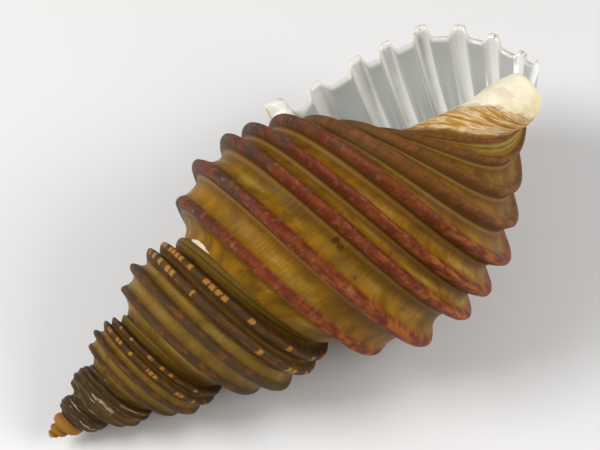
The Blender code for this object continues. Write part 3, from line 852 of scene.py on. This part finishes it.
    def _wear(self, turn: Field, place: Field, colour: Field) -> Field:
        """Bare white patch at the seam and the dark specks, placed as on the real shell."""
        patch_turn, patch_place = self.seam_patch
        patch = ((turn - patch_turn) * 24.0).bell(1.0) * ((place - patch_place) * 9.0).bell(1.0)
        ragged = self.patch_edge.on(turn, place)
        colour = self.painted(colour, (self.band_pale, (patch + ragged * 0.7).eased(0.8, 0.95)))
        smudge = self.speck_edge.on(turn, place)
        for speck_turn, speck_place, size in self.specks:
            reach = ((turn - speck_turn) * 190.0).bell(1.0) * ((place - speck_place) * 10.0).bell(1.0)
            speck = (reach * size + smudge * 1.4).eased(1.05, 1.35)
            colour = self.painted(colour, (self.growth_line_and_shade, speck * reach.eased(0.1, 0.4) * 0.85))
        return colour

    def build(self) -> Material:
        """Build the finish of the outer wall."""
        material, tree = self.start("periostracum_over_cords_grown")
        turn, place, to_lip = (self.mark(tree, mark) for mark in (Mark.TURN, Mark.PLACE, Mark.TO_LIP))
        cord = place.math("ROUND")
        aside = place - cord
        corded = place.above(0.5) * place.below(9.5) * turn.eased(*self.corded_turns)
        old = 1.0 - turn.eased(*OLD_TURNS)
        wider = broadening(cord, turn) * 0.1 - cord.above(BASE_FROM) * 0.04
        bead = (1.0 - (aside.math("ABSOLUTE") - wider).eased(0.16, 0.23)) * corded
        lines = self.growth_lines.on(turn, place)
        # A thin gold thread beside each cord, then a painted shadow line under each cord's apical edge
        thread = ((aside + 0.27) * 16.0).bell(1.0) * corded
        shadow = ((aside + 0.205) * 32.0).bell(1.0) * corded
        colour = self.painted(
            self._hollow(turn, place, old), (self.thread_gold, thread * 0.3),
            (self._crest(turn, place, cord, old), bead), (self.growth_line_and_shade, shadow * 0.85),
            (self.growth_line_and_shade, lines.eased(0.5, 0.72) * 0.26))
        colour = self._wear(turn, place, self._first_turns(turn, place, colour))

        ragged = self.band_edge.on(turn, place) - 0.5
        flakes = self.band_flakes.on(turn * 4.5 + place * 0.6, place)
        flaky = (place + ragged * 0.5).eased(*self.band_places)
        band = self.painted(
            self.band_brown, (self.band_gold, flakes.eased(0.32, 0.5)),
            (self.band_pale, ((flakes - 0.5) * 28.0).bell(1.0) * 0.65),
            (self.band_pink, ((flakes - 0.6) * 18.0).bell(1.0) * 0.45),
            (self.band_pale, (flakes + place * 0.5 - 5.5).eased(0.4, 0.75) * 0.5))
        yellow = (place - 8.7).bell(0.4) * turn.eased(0.3, 0.44) * (1.0 - bead) * flakes.eased(0.35, 0.6)
        bare_from = 10.95 - ((0.08 - turn) * 8.0).math("EXPONENT").at_most(1.3) * 1.6
        bare = (place + ragged * 0.9 - bare_from).eased(-0.2, 0.2) * place.above(9.1)
        blush = (place - 11.1).bell(0.5) * self.knob_blush.on(turn, place).eased(0.4, 0.6)
        knob = self.painted(self.knob_cream, (self.knob_yellow, turn.eased(0.2, 0.42) * 0.7),
                            (self.band_pink, blush * 0.35))
        near_lip = 1.0 - to_lip.eased(0.0, 0.01)
        lobe = (1.0 - to_lip.eased(0.05, 0.075)) * (1.0 - place.eased(0.8, 1.05))
        colour = self.painted(colour, (self.groove_yellow, yellow * 0.85), (band, flaky), (knob, bare),
                              (self.knob_cream, near_lip.at_least(lobe) * (1.0 - flaky)))

        waves = self.growth_waves.on(turn, place)
        height = lines * self.line_relief * (1.0 + bead * 0.8) + waves * 0.04
        height = height + self.spiral_threads.on(turn, place) * 0.03
        height = height.toward(flakes * 0.5, flaky).toward(ragged * 0.06, bare)
        rough = (bead * 0.06 + 0.44).toward(0.6, flaky).toward(0.3, bare)
        self.close(tree, colour, rough, height, IOR=1.5, Specular_IOR_Level=0.08)
        return material


@dataclass(frozen=True)
class PorcelainLining(Finish):
    """Glossy aragonite laid down by the mantle over the inside of the wall.

    It gives the eye a smooth grey-white glaze, brightest where it fills the cords, with darker
    stretches between them, partly the glaze's see-through grey and partly painted shade deepening
    inside the lip, and a thin cream and brown rim on the teeth of the lip.
    """

    bright: str = "#f6f6f1"
    milky: str = "#b8bab5"
    shaded: str = "#857a72"
    deep: str = "#aaa69b"
    line: str = "#7f878c"
    rim: str = "#efece0"
    rim_brown: str = "#94703a"
    clouds: Grain = Grain(5.0, 6.0, 1.0, 3.0)
    streaks: Grain = Grain(14.0, 3.0, 4.0, 3.0)
    rim_patches: Grain = Grain(300.0, 9.0, 2.0, 3.0)
    ripples: Grain = Grain(1.5, 60.0, 3.0)

    def build(self) -> Material:
        """Build the finish of the lining and the lip."""
        material, tree = self.start("porcelain_lining_grown")
        turn, place, depth, inner = (self.mark(tree, mark)
                                     for mark in (Mark.TURN, Mark.PLACE, Mark.DEPTH, Mark.INNER))
        aside = (place - place.math("ROUND")).math("ABSOLUTE")
        lip = (1.0 - inner) * place.below(9.5)
        soft = self.clouds.on(place, depth)
        streak = self.streaks.on(place, depth)
        band = 1.0 - (aside + (streak - 0.5) * 0.2).eased(0.12, 0.3)
        band = band * place.above(0.4) * lip
        # Darker patches from just inside the lip inward: partly the glaze's see-through grey, partly painted
        # shade of the hollow
        inner_shade = (soft * 0.6 + streak * 0.4).eased(0.38, 0.58) * depth.eased(0.02, 0.14) * lip
        line = (aside - 0.23).bell(0.02) * lip * soft.eased(0.35, 0.65) * (1.0 - depth.eased(0.15, 0.4))
        rim = (1.0 - depth.eased(0.0, 0.006)) * (1.0 - inner)
        brown = self.rim_patches.on(turn, place).eased(0.56, 0.66) * band * place.eased(2.0, 5.0)
        colour = self.painted(
            self.milky, (self.shaded, inner_shade), (self.deep, depth.eased(0.2, 0.5)),
            (self.bright, band * (1.0 - depth.eased(0.1, 0.7)) * 0.8), (self.line, line * 0.4),
            (self.bright, place.below(0.9) * (1.0 - depth.eased(0.02, 0.06))),
            (self.rim, rim * 0.7), (self.rim_brown, rim * brown))
        height = soft * 0.12 + self.ripples.on(place, depth) * 0.05
        self.close(tree, colour, 0.3, height, IOR=1.53, Coat_Weight=0.4, Coat_Roughness=0.12,
                   Subsurface_Weight=0.15, Subsurface_Scale=0.0015)
        return material


@dataclass(frozen=True)
class GridRule:
    """How finely the wall is laid out."""

    rows_per_turn: int = 84
    upper_columns: int = 84
    lower_columns: int = 96
    foot_points: int = 5
    knob_rings: int = 8
    depth_rows: int = 50
    depth_power: float = 1.6
    even_places: float = 4.5
    cord_gathering: float = 0.5
    weld: float = 0.0008

    @property
    def columns(self) -> int:
        """Steps across the last whorl, from the seam to the edge of the knob."""
        return self.upper_columns + self.lower_columns

    @property
    def ring_steps(self) -> int:
        """Steps round the aperture, from its corner back to its corner."""
        return self.columns + self.foot_points + 1 + self.lower_columns


@dataclass(frozen=True)
class RestPose:
    """How the shell lies: its resting side turned down, its canal along +X.

    The seat is the shift, in millimetres, that brings the solid's box to the frame's origin.
    """

    azimuth: float = 120.0
    tilt: float = 19.75
    seat: Triple = (-48.78592, -1.68947, 3.4024)

    def matrix(self) -> Matrix:
        """Turn from the shell's own frame, apex up, to the ground frame."""
        azimuth, tilt = math.radians(self.azimuth), math.radians(self.tilt)
        up = -Vector((math.cos(tilt) * math.cos(azimuth), math.cos(tilt) * math.sin(azimuth), math.sin(tilt)))
        canal = Vector((0.0, 0.0, -1.0))
        along = (canal - up * canal.dot(up)).normalized()
        return Matrix((along, up.cross(along), up))

    def place(self, point: Vector) -> Vector:
        """Point in the ground frame, in metres."""
        return (self.matrix() @ point + Vector(self.seat)) * MM


class ShellForm:
    """The whole shell as one piece, laid out by a Geometry Nodes tree."""

    def __init__(self, rule: GrowthRule, aperture: ApertureRule, grid: GridRule, rest: RestPose) -> None:
        self.rule = rule
        self.aperture = aperture
        self.grid = grid
        self.rest = rest
        self.sections = SectionGroups(rule, aperture)

    def _column_place(self, column: Field) -> Field:
        """Place across the last whorl of a column of the grid."""
        rule, grid = self.rule, self.grid
        upper = column.at_most(grid.upper_columns) * (rule.corner_place / grid.upper_columns)
        step = (rule.knob_edge - rule.corner_place) / grid.lower_columns
        return self._gathered(upper + (column - grid.upper_columns).at_least(0.0) * step)

    def _gathered(self, place: Field) -> Field:
        """Draw the columns closer together over the cords, where the wall bends most."""
        rule, grid = self.rule, self.grid
        inside = place.below(rule.last_cord) * (1.0 - (place - grid.even_places).above(0.0)
                                                * place.below(rule.corner_place + 0.8))
        return place - (place * TAU).math("SINE") * inside * (grid.cord_gathering / TAU)

    def _inner_lip_turn(self, tree: Tree, place: Field) -> Field:
        """Turn at which the last whorl starts along the inner lip, the corner's turn above it."""
        rule = self.rule
        return self.sections.float_curve(tree, place, rule.inner_lip_places, rule.inner_lip_turns)

    def _edge_turn(self, tree: Tree, place: Field) -> Field:
        """Turn of the outer lip with its teeth."""
        rule = self.rule
        lip_turn, = self.sections.lip.use(tree, place=place)
        tooth = 1.0 - 2.0 * (place - place.math("ROUND")).math("ABSOLUTE").eased(*rule.tooth_flank)
        ribbed = place.below(rule.last_cord + 0.5) * place.above(0.5)
        return lip_turn + tooth * ribbed * rule.lip_tooth

    def _sheet(self, tree: Tree, across: int, along: int) -> Tuple[Field, Field, Field]:
        """A flat grid with its column and row numbers."""
        node = tree.node("GeometryNodeMeshGrid", {"Size X": 1.0, "Size Y": 1.0, "Vertices X": across + 1,
                                                  "Vertices Y": along + 1})
        index = tree.value("GeometryNodeInputIndex")
        column = (index / (along + 1.0) + 0.5 / (along + 1.0)).math("FLOOR")
        row = index - column * (along + 1.0)
        return Field(tree, node.outputs[0]), column, row

    @staticmethod
    def _finish_sheet(tree: Tree, sheet: Field, point: Field, marks: Dict[Mark, Number],
                      material: Material, flip: bool) -> Field:
        """Store the marks the finishes read, move the grid's points and give it a material."""
        for mark, number in marks.items():
            at_points = number
            if isinstance(number, Field):
                at_points = tree.value("GeometryNodeFieldOnDomain", {0: number}, data_type="FLOAT",
                                       domain="POINT")
            sheet = tree.value("GeometryNodeStoreNamedAttribute",
                               {"Geometry": sheet, "Name": mark.value, "Value": at_points},
                               data_type="FLOAT", domain="CORNER")
        sheet = tree.value("GeometryNodeSetPosition", {"Geometry": sheet, "Position": point})
        if flip:
            sheet = tree.value("GeometryNodeFlipFaces", {"Mesh": sheet})
        return tree.value("GeometryNodeSetMaterial", {"Geometry": sheet, "Material": material})

    @staticmethod
    def _gather(tree: Tree, sheet: Field, near: Field, last: Field) -> Field:
        """Draw the last row of a sheet together at the middle of the row before it."""
        position = tree.value("GeometryNodeInputPosition")
        middle = tree.value("GeometryNodeAttributeStatistic",
                            {"Geometry": sheet, "Selection": near, "Attribute": position}, "Mean",
                            data_type="FLOAT_VECTOR", domain="POINT")
        return tree.value("GeometryNodeSetPosition",
                          {"Geometry": sheet, "Selection": last, "Position": middle})

    @staticmethod
    def _marks(turn: Number, place: Number, depth: Number = -1.0, to_lip: Number = 1.0) -> Dict[Mark, Number]:
        """Numbers that the finishes read: turn, place, turns inside the edge and turns left to the lip."""
        return {Mark.TURN: turn, Mark.PLACE: place, Mark.DEPTH: depth, Mark.TO_LIP: to_lip}

    def _outside(self, tree: Tree, turn: Number, place: Number) -> Field:
        """Point on the outer wall at a turn and a place."""
        return self.sections.outer.use(tree, turn=turn, place=place)[0]

    def _spire(self, tree: Tree, material: Material) -> Field:
        """Whorls from the apex to the corner of the aperture."""
        rule, grid = self.rule, self.grid
        rows = round((rule.corner_turn - rule.first_turn) * grid.rows_per_turn)
        sheet, column, row = self._sheet(tree, grid.upper_columns, rows)
        turn = row * (1.0 / grid.rows_per_turn) + (rule.corner_turn - rows / grid.rows_per_turn)
        place = self._spire_place(column, turn)
        point = self._outside(tree, turn, place)
        return self._finish_sheet(tree, sheet, point, self._marks(turn, place), material, True)

    def _spire_place(self, column: Field, turn: Field) -> Field:
        """Place of a column on the spire, where the next turn's seam is the last column."""
        rule, grid = self.rule, self.grid
        even = self._gathered(column * (rule.corner_place / grid.upper_columns))
        limit = self.sections.seam_place(turn + 1.0)
        stretch = (limit - grid.even_places) * (1.0 / (rule.corner_place - grid.even_places))
        return even.at_most(grid.even_places) + (even - grid.even_places).at_least(0.0) * stretch

    def _apex_cap(self, tree: Tree, material: Material) -> Field:
        """Fan from the seam of the first turn to the tip of the spire."""
        rule, grid = self.rule, self.grid
        sheet, column, row = self._sheet(tree, 1, grid.rows_per_turn)
        turn = row * (1.0 / grid.rows_per_turn) + rule.first_turn
        edge = self._outside(tree, turn, 0.0)
        tip = tree.vector(0.0, 0.0, -rule.tip_height)
        point = self.sections.blend(tree, (1.0 - column, edge), (column, tip))
        return self._finish_sheet(tree, sheet, point, self._marks(turn, 0.0), material, False)

    def _coil_start(self, tree: Tree, material: Material) -> Field:
        """Wall across the coil where its first turn starts."""
        rule, grid = self.rule, self.grid
        sheet, column, row = self._sheet(tree, 1, grid.upper_columns)
        turn = tree.math("ADD", rule.first_turn, 0.0)
        place = self._spire_place(grid.upper_columns - row, turn)
        edge = self._outside(tree, turn, place)
        seam = self._outside(tree, turn, 0.0)
        flank = self._outside(tree, turn, rule.start_flank)
        point = self.sections.blend(tree, (1.0 - column, edge), (column * 0.5, seam), (column * 0.5, flank))
        return self._finish_sheet(tree, sheet, point, self._marks(turn, place), material, False)

    def _last_whorl(self, tree: Tree, material: Material) -> Field:
        """Last whorl, from the inner lip round to the outer lip."""
        rule, grid = self.rule, self.grid
        sheet, column, row = self._sheet(tree, grid.columns, grid.rows_per_turn)
        place = self._column_place(column)
        share = row * (1.0 / grid.rows_per_turn)
        start = self._inner_lip_turn(tree, place.at_least(rule.corner_place))
        lip_turn, = self.sections.lip.use(tree, place=place)
        tooth = self._edge_turn(tree, place) - lip_turn
        turn = start.toward(lip_turn, share) + tooth * share.eased(0.93, 1.0)
        point = self._outside(tree, turn, place)
        marks = self._marks(turn, place, to_lip=lip_turn - turn)
        return self._finish_sheet(tree, sheet, point, marks, material, True)

    def _knob_end(self, tree: Tree, material: Material) -> Field:
        """Rounded end of the knob, all the way round."""
        rule, grid = self.rule, self.grid
        rings = grid.knob_rings
        steps = grid.rows_per_turn + grid.foot_points + 1
        sheet, column, row = self._sheet(tree, rings, steps)
        share = row * (1.0 / grid.rows_per_turn)
        start, end = rule.inner_lip_turns[-1], rule.lip_turns[-1]
        foot = (row - grid.rows_per_turn).at_least(0.0) * (1.0 / (grid.foot_points + 1))
        turn = (share.at_most(1.0) * (end - start) + start) + foot * (start + 1.0 - end)
        closing = row.above(steps - 0.5)
        edge = self._outside(tree, turn - closing, rule.knob_edge)
        middle = tree.vector(-rule.knob_shift, 0.0, -rule.knob_end)
        inward = column * (1.0 / rings)
        sunk = (1.0 - (1.0 - inward) * (1.0 - inward)).at_least(0.0).math("SQRT")
        flat = self.sections.blend(tree, (1.0 - inward, edge), (inward, middle))
        domed = self.sections.blend(tree, (1.0 - sunk, edge), (sunk, middle))
        parts = tree.node("ShaderNodeSeparateXYZ", {0: flat})
        height = tree.value("ShaderNodeSeparateXYZ", {0: domed}, output=2)
        point = tree.vector(parts.outputs[0], parts.outputs[1], height)
        place = inward * 0.6 + rule.knob_edge
        return self._finish_sheet(tree, sheet, point, self._marks(turn, place), material, True)

    def _lining(self, tree: Tree, material: Material) -> Field:
        """Edge of the aperture and the hollow that runs from it up the coil."""
        rule, size, grid = self.rule, self.aperture, self.grid
        sheet, column, row = self._sheet(tree, grid.ring_steps, grid.depth_rows)
        depth = ((row - 2.0).at_least(0.0) * (1.0 / (grid.depth_rows - 2.0))).math("POWER", grid.depth_power)
        depth = depth * size.depth_turns
        on_rim = (1.0 - row * 0.5).at_least(0.0)
        inner_from = grid.columns + grid.foot_points + 1
        foot = column.above(grid.columns + 0.5) * column.below(inner_from - 0.5)
        inner = column.above(inner_from - 0.5) * column.below(grid.ring_steps - 0.5)
        back = (grid.columns + inner_from - column) * inner
        there = column.at_most(grid.columns) * (1.0 - inner) * column.below(grid.ring_steps - 0.5)
        place = self._column_place(there + back)
        foot_share = ((column - grid.columns) * (1.0 / (grid.foot_points + 1))).clipped(0.0, 1.0)
        foot_turn = foot_share * (size.foot_turns[1] - size.foot_turns[0]) + size.foot_turns[0]
        inner_turn = self._inner_lip_turn(tree, place) + 1.0
        edge_turn = self._edge_turn(tree, place).toward(foot_turn, foot).toward(inner_turn, inner)
        edge = self._outside(tree, edge_turn - inner, place)
        wall, start = (self.sections.inner.use(tree, edge_turn=edge_turn, place=place, foot=foot, inner=inner,
                                               depth=inside) for inside in (depth, 0.0))

        # Near the canal the wall starts from the edge drawn in towards the canal's middle
        parts = tree.node("ShaderNodeSeparateXYZ", {0: edge})
        edge_x, edge_y, edge_z = (Field(tree, output) for output in parts.outputs)
        drawn_x = edge_x.toward(size.canal_middle[0], size.edge_drawn_in)
        drawn_y = edge_y.toward(size.canal_middle[1], size.edge_drawn_in)
        past = (place - rule.last_cord).toward(4.0, foot)
        pull = ((past + size.pull_start) * (1.0 / size.pull_places)).eased() * past.above(0.0)
        drawn_turn = drawn_y.math("ARCTAN2", drawn_x) * (-1.0 / TAU)
        drawn_turn = drawn_turn + (start[0] - drawn_turn).math("ROUND")
        drawn_radius = (drawn_x * drawn_x + drawn_y * drawn_y).math("SQRT")
        turn_fade = (1.0 - depth.eased(0.0, size.turn_fade)) * pull
        radius_fade = (1.0 - depth.eased(0.0, size.radius_fade)) * pull
        turn = wall[0] + (drawn_turn - start[0]) * turn_fade
        radius = wall[1] + (drawn_radius - start[1]) * radius_fade
        height = wall[2] + (-edge_z - start[2]) * radius_fade
        rounded = row.above(0.5) * row.below(1.5) * (1.0 - foot) * (1.0 - inner) * size.rim_bulge
        inside = self.sections.point(tree, turn + rounded, radius, height)
        point = tree.value("ShaderNodeMix", {"Factor": on_rim, 4: inside, 5: edge}, output=1,
                           data_type="VECTOR")
        marks = {**self._marks(turn, place, depth - on_rim, 0.0), Mark.INNER: inner}
        sheet = self._finish_sheet(tree, sheet, point, marks, material, True)
        return self._gather(tree, sheet, row.above(grid.depth_rows - 1.5) * row.below(grid.depth_rows - 0.5),
                            row.above(grid.depth_rows - 0.5))

    def _laid_down(self, tree: Tree, shell: Field, lowest: Field, highest: Field) -> Field:
        """Lay the shell on its resting side, worn flat on the ground, inside the solid's own box."""
        matrix = self.rest.matrix()
        position = tree.value("GeometryNodeInputPosition")
        rows = []
        for row, shift in zip(matrix, self.rest.seat):
            dot = tree.value("ShaderNodeVectorMath", {0: position, 1: tuple(row)}, output=1,
                             operation="DOT_PRODUCT")
            rows.append((dot + shift) * MM)
        point = tree.vector(*rows)
        raised = tree.value("ShaderNodeVectorMath", {0: point, 1: lowest}, operation="MAXIMUM")
        kept = tree.value("ShaderNodeVectorMath", {0: raised, 1: highest}, operation="MINIMUM")
        return tree.value("GeometryNodeSetPosition", {"Geometry": shell, "Position": kept})

    def _blunt_apex(self, tree: Tree, shell: Field) -> Field:
        """Round off the very tip of the spire."""
        parts = tree.node("ShaderNodeSeparateXYZ", {0: tree.value("GeometryNodeInputPosition")})
        height = Field(tree, parts.outputs[2])
        blunt = -(height * height + self.rule.blunt_apex ** 2).math("SQRT")
        point = tree.vector(parts.outputs[0], parts.outputs[1], blunt)
        return tree.value("GeometryNodeSetPosition", {"Geometry": shell, "Position": point})

    def build(self, outside: Material, inside: Material,
              box: Sequence[Sequence[float]]) -> bpy.types.Object:
        """Build the piece.

        Args:
            outside: finish of the outer wall.
            inside: finish of the lining.
            box: lowest and highest corner of the solid that the piece stands for.

        Returns:
            The shell as a plain mesh object at the origin.
        """
        grid = self.grid
        group = bpy.data.node_groups.new("Shell by its rule of growth", "GeometryNodeTree")
        group.interface.new_socket("Geometry", in_out="INPUT", socket_type="NodeSocketGeometry")
        weld = group.interface.new_socket("Weld distance", in_out="INPUT", socket_type="NodeSocketFloat")
        corners = [group.interface.new_socket(label, in_out="INPUT", socket_type="NodeSocketVector")
                   for label in ("Lowest corner", "Highest corner")]
        group.interface.new_socket("Geometry", in_out="OUTPUT", socket_type="NodeSocketGeometry")
        tree = Tree(group)
        start = tree.node("NodeGroupInput")
        sheets = [self._apex_cap(tree, outside), self._coil_start(tree, outside), self._spire(tree, outside),
                  self._last_whorl(tree, outside), self._knob_end(tree, outside), self._lining(tree, inside)]
        join = tree.node("GeometryNodeJoinGeometry")
        for sheet in sheets:
            tree.plug(join.inputs[0], sheet)
        shell = Field(tree, join.outputs[0])
        shell = tree.value("GeometryNodeMergeByDistance", {"Geometry": shell,
                                                           "Distance": start.outputs["Weld distance"]})
        shell = self._laid_down(tree, self._blunt_apex(tree, shell),
                                *(start.outputs[corner.name] for corner in corners))
        shell = tree.value("GeometryNodeSetShadeSmooth", {"Geometry": shell})
        tree.node("NodeGroupOutput", {0: tree.value("GeometryNodeRealizeInstances", {0: shell})})

        mesh = bpy.data.meshes.new("shell_seed")
        mesh.materials.append(outside)
        seed = bpy.data.objects.new("shell_seed", mesh)
        bpy.context.scene.collection.objects.link(seed)
        modifier = seed.modifiers.new("growth", "NODES")
        modifier.node_group = group
        modifier[weld.identifier] = grid.weld
        for corner, limit in zip(corners, box):
            modifier[corner.identifier] = tuple(limit)
        bpy.context.view_layer.update()
        evaluated = seed.evaluated_get(bpy.context.evaluated_depsgraph_get())
        plain = bpy.data.meshes.new_from_object(evaluated, preserve_all_data_layers=True,
                                                depsgraph=bpy.context.evaluated_depsgraph_get())
        bpy.data.objects.remove(seed)
        while plain.materials[0] is None:
            plain.materials.pop(index=0)
        plain.name = "sea_snail_shell"
        shell_object = bpy.data.objects.new("sea_snail_shell", plain)
        bpy.context.scene.collection.objects.link(shell_object)
        log.info("shell: %d faces", len(plain.polygons))
        return shell_object


@dataclass(frozen=True)
class PhotoCamera:
    """Camera at the photograph's angle, worked out in the shell's own frame."""

    pixel: float = 0.16
    from_pole: Triple = (254.7, -214.0, -1111.1)
    turned: float = 37.37
    leaned: float = 0.95
    focal_pixels: float = 1111.1
    picture_width: float = 600.0
    sensor: float = 36.0

    def axes(self) -> Tuple[Vector, Vector, Vector]:
        """Right, down and forward in the shell's own frame."""
        turned, leaned = math.radians(self.turned), math.radians(self.leaned)
        cosine, sine = math.cos(turned), math.sin(turned)
        side, lean = math.cos(leaned), math.sin(leaned)
        right = Vector((-sine, cosine * lean, -cosine * side))
        down = Vector((-cosine, -sine * lean, sine * side))
        return right, down, Vector((0.0, side, lean))

    def build(self, rest: RestPose) -> bpy.types.Object:
        """Make the scene's camera."""
        axes = self.axes()
        place = sum((axis * steps * self.pixel for axis, steps in zip(axes, self.from_pole)), Vector())
        right, down, forward = (rest.matrix() @ axis for axis in axes)
        data = bpy.data.cameras.new("photo_camera")
        data.sensor_width = self.sensor
        data.lens = self.focal_pixels * self.sensor / self.picture_width
        data.clip_start, data.clip_end = 0.01, 10.0
        camera = bpy.data.objects.new("photo_camera", data)
        turn = Matrix((right, -down, -forward)).transposed().to_4x4()
        camera.matrix_world = Matrix.Translation(rest.place(place)) @ turn
        bpy.context.scene.collection.objects.link(camera)
        bpy.context.scene.camera = camera
        return camera


@dataclass(frozen=True)
class Lamp:
    """One soft square light, placed round the camera's view of the shell, in metres and watts."""

    name: str
    place: Triple
    size: float
    power: float

    def build(self, camera: bpy.types.Object) -> None:
        """Hang the light and turn it to the shell."""
        light = bpy.data.lights.new(self.name, "AREA")
        light.energy, light.size = self.power, self.size
        lamp = bpy.data.objects.new(self.name, light)
        lamp.location = camera.matrix_world.to_3x3() @ Vector(self.place)
        lamp.rotation_euler = (-lamp.location).to_track_quat("-Z", "Y").to_euler()
        bpy.context.scene.collection.objects.link(lamp)


@dataclass(frozen=True)
class Studio:
    """Pale ground and soft light."""

    ground_size: float = 4.0
    ground_grey: float = 0.8
    air: Tuple[float, float, float, float] = (1.0, 0.97, 0.94, 1.0)
    air_strength: float = 0.3
    lamps: Tuple[Lamp, ...] = (Lamp("key", (-0.42, 0.2, 0.36), 0.25, 2.7),
                               Lamp("fill", (0.44, 0.1, 0.36), 0.35, 2.0))

    def build_floor(self) -> bpy.types.Object:
        """Lay plain pale ground under the shell."""
        bpy.ops.mesh.primitive_plane_add(size=self.ground_size)
        floor = bpy.context.object
        floor.name = "pale_ground"
        ground = bpy.data.materials.new("matt_white_board")
        ground.use_nodes = True
        grey = (self.ground_grey, self.ground_grey, self.ground_grey, 1.0)
        ground.node_tree.nodes["Principled BSDF"].inputs["Base Color"].default_value = grey
        floor.data.materials.append(ground)
        return floor

    def build_light(self, camera: bpy.types.Object) -> None:
        """Light the scene from its lamps and from all round."""
        for lamp in self.lamps:
            lamp.build(camera)
        world = bpy.data.worlds.new("studio")
        world.use_nodes = True
        background = world.node_tree.nodes["Background"]
        background.inputs[0].default_value = self.air
        background.inputs[1].default_value = self.air_strength
        bpy.context.scene.world = world
        bpy.context.scene.view_settings.view_transform = "Standard"


def main() -> None:
    """Build the shell on its frame, then the stage and the camera."""
    logging.basicConfig(level=logging.INFO, format="%(name)s: %(message)s")
    cad_box = [list(corner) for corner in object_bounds()]
    rest = RestPose()
    form = ShellForm(GrowthRule(), ApertureRule(), GridRule(), rest)
    shell = form.build(CordedPeriostracum().build(), PorcelainLining().build(), cad_box)
    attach(shell, "root")
    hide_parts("shell")
    studio = Studio()
    studio.build_floor()
    studio.build_light(PhotoCamera().build(rest))


if __name__ == "__main__":
    main()
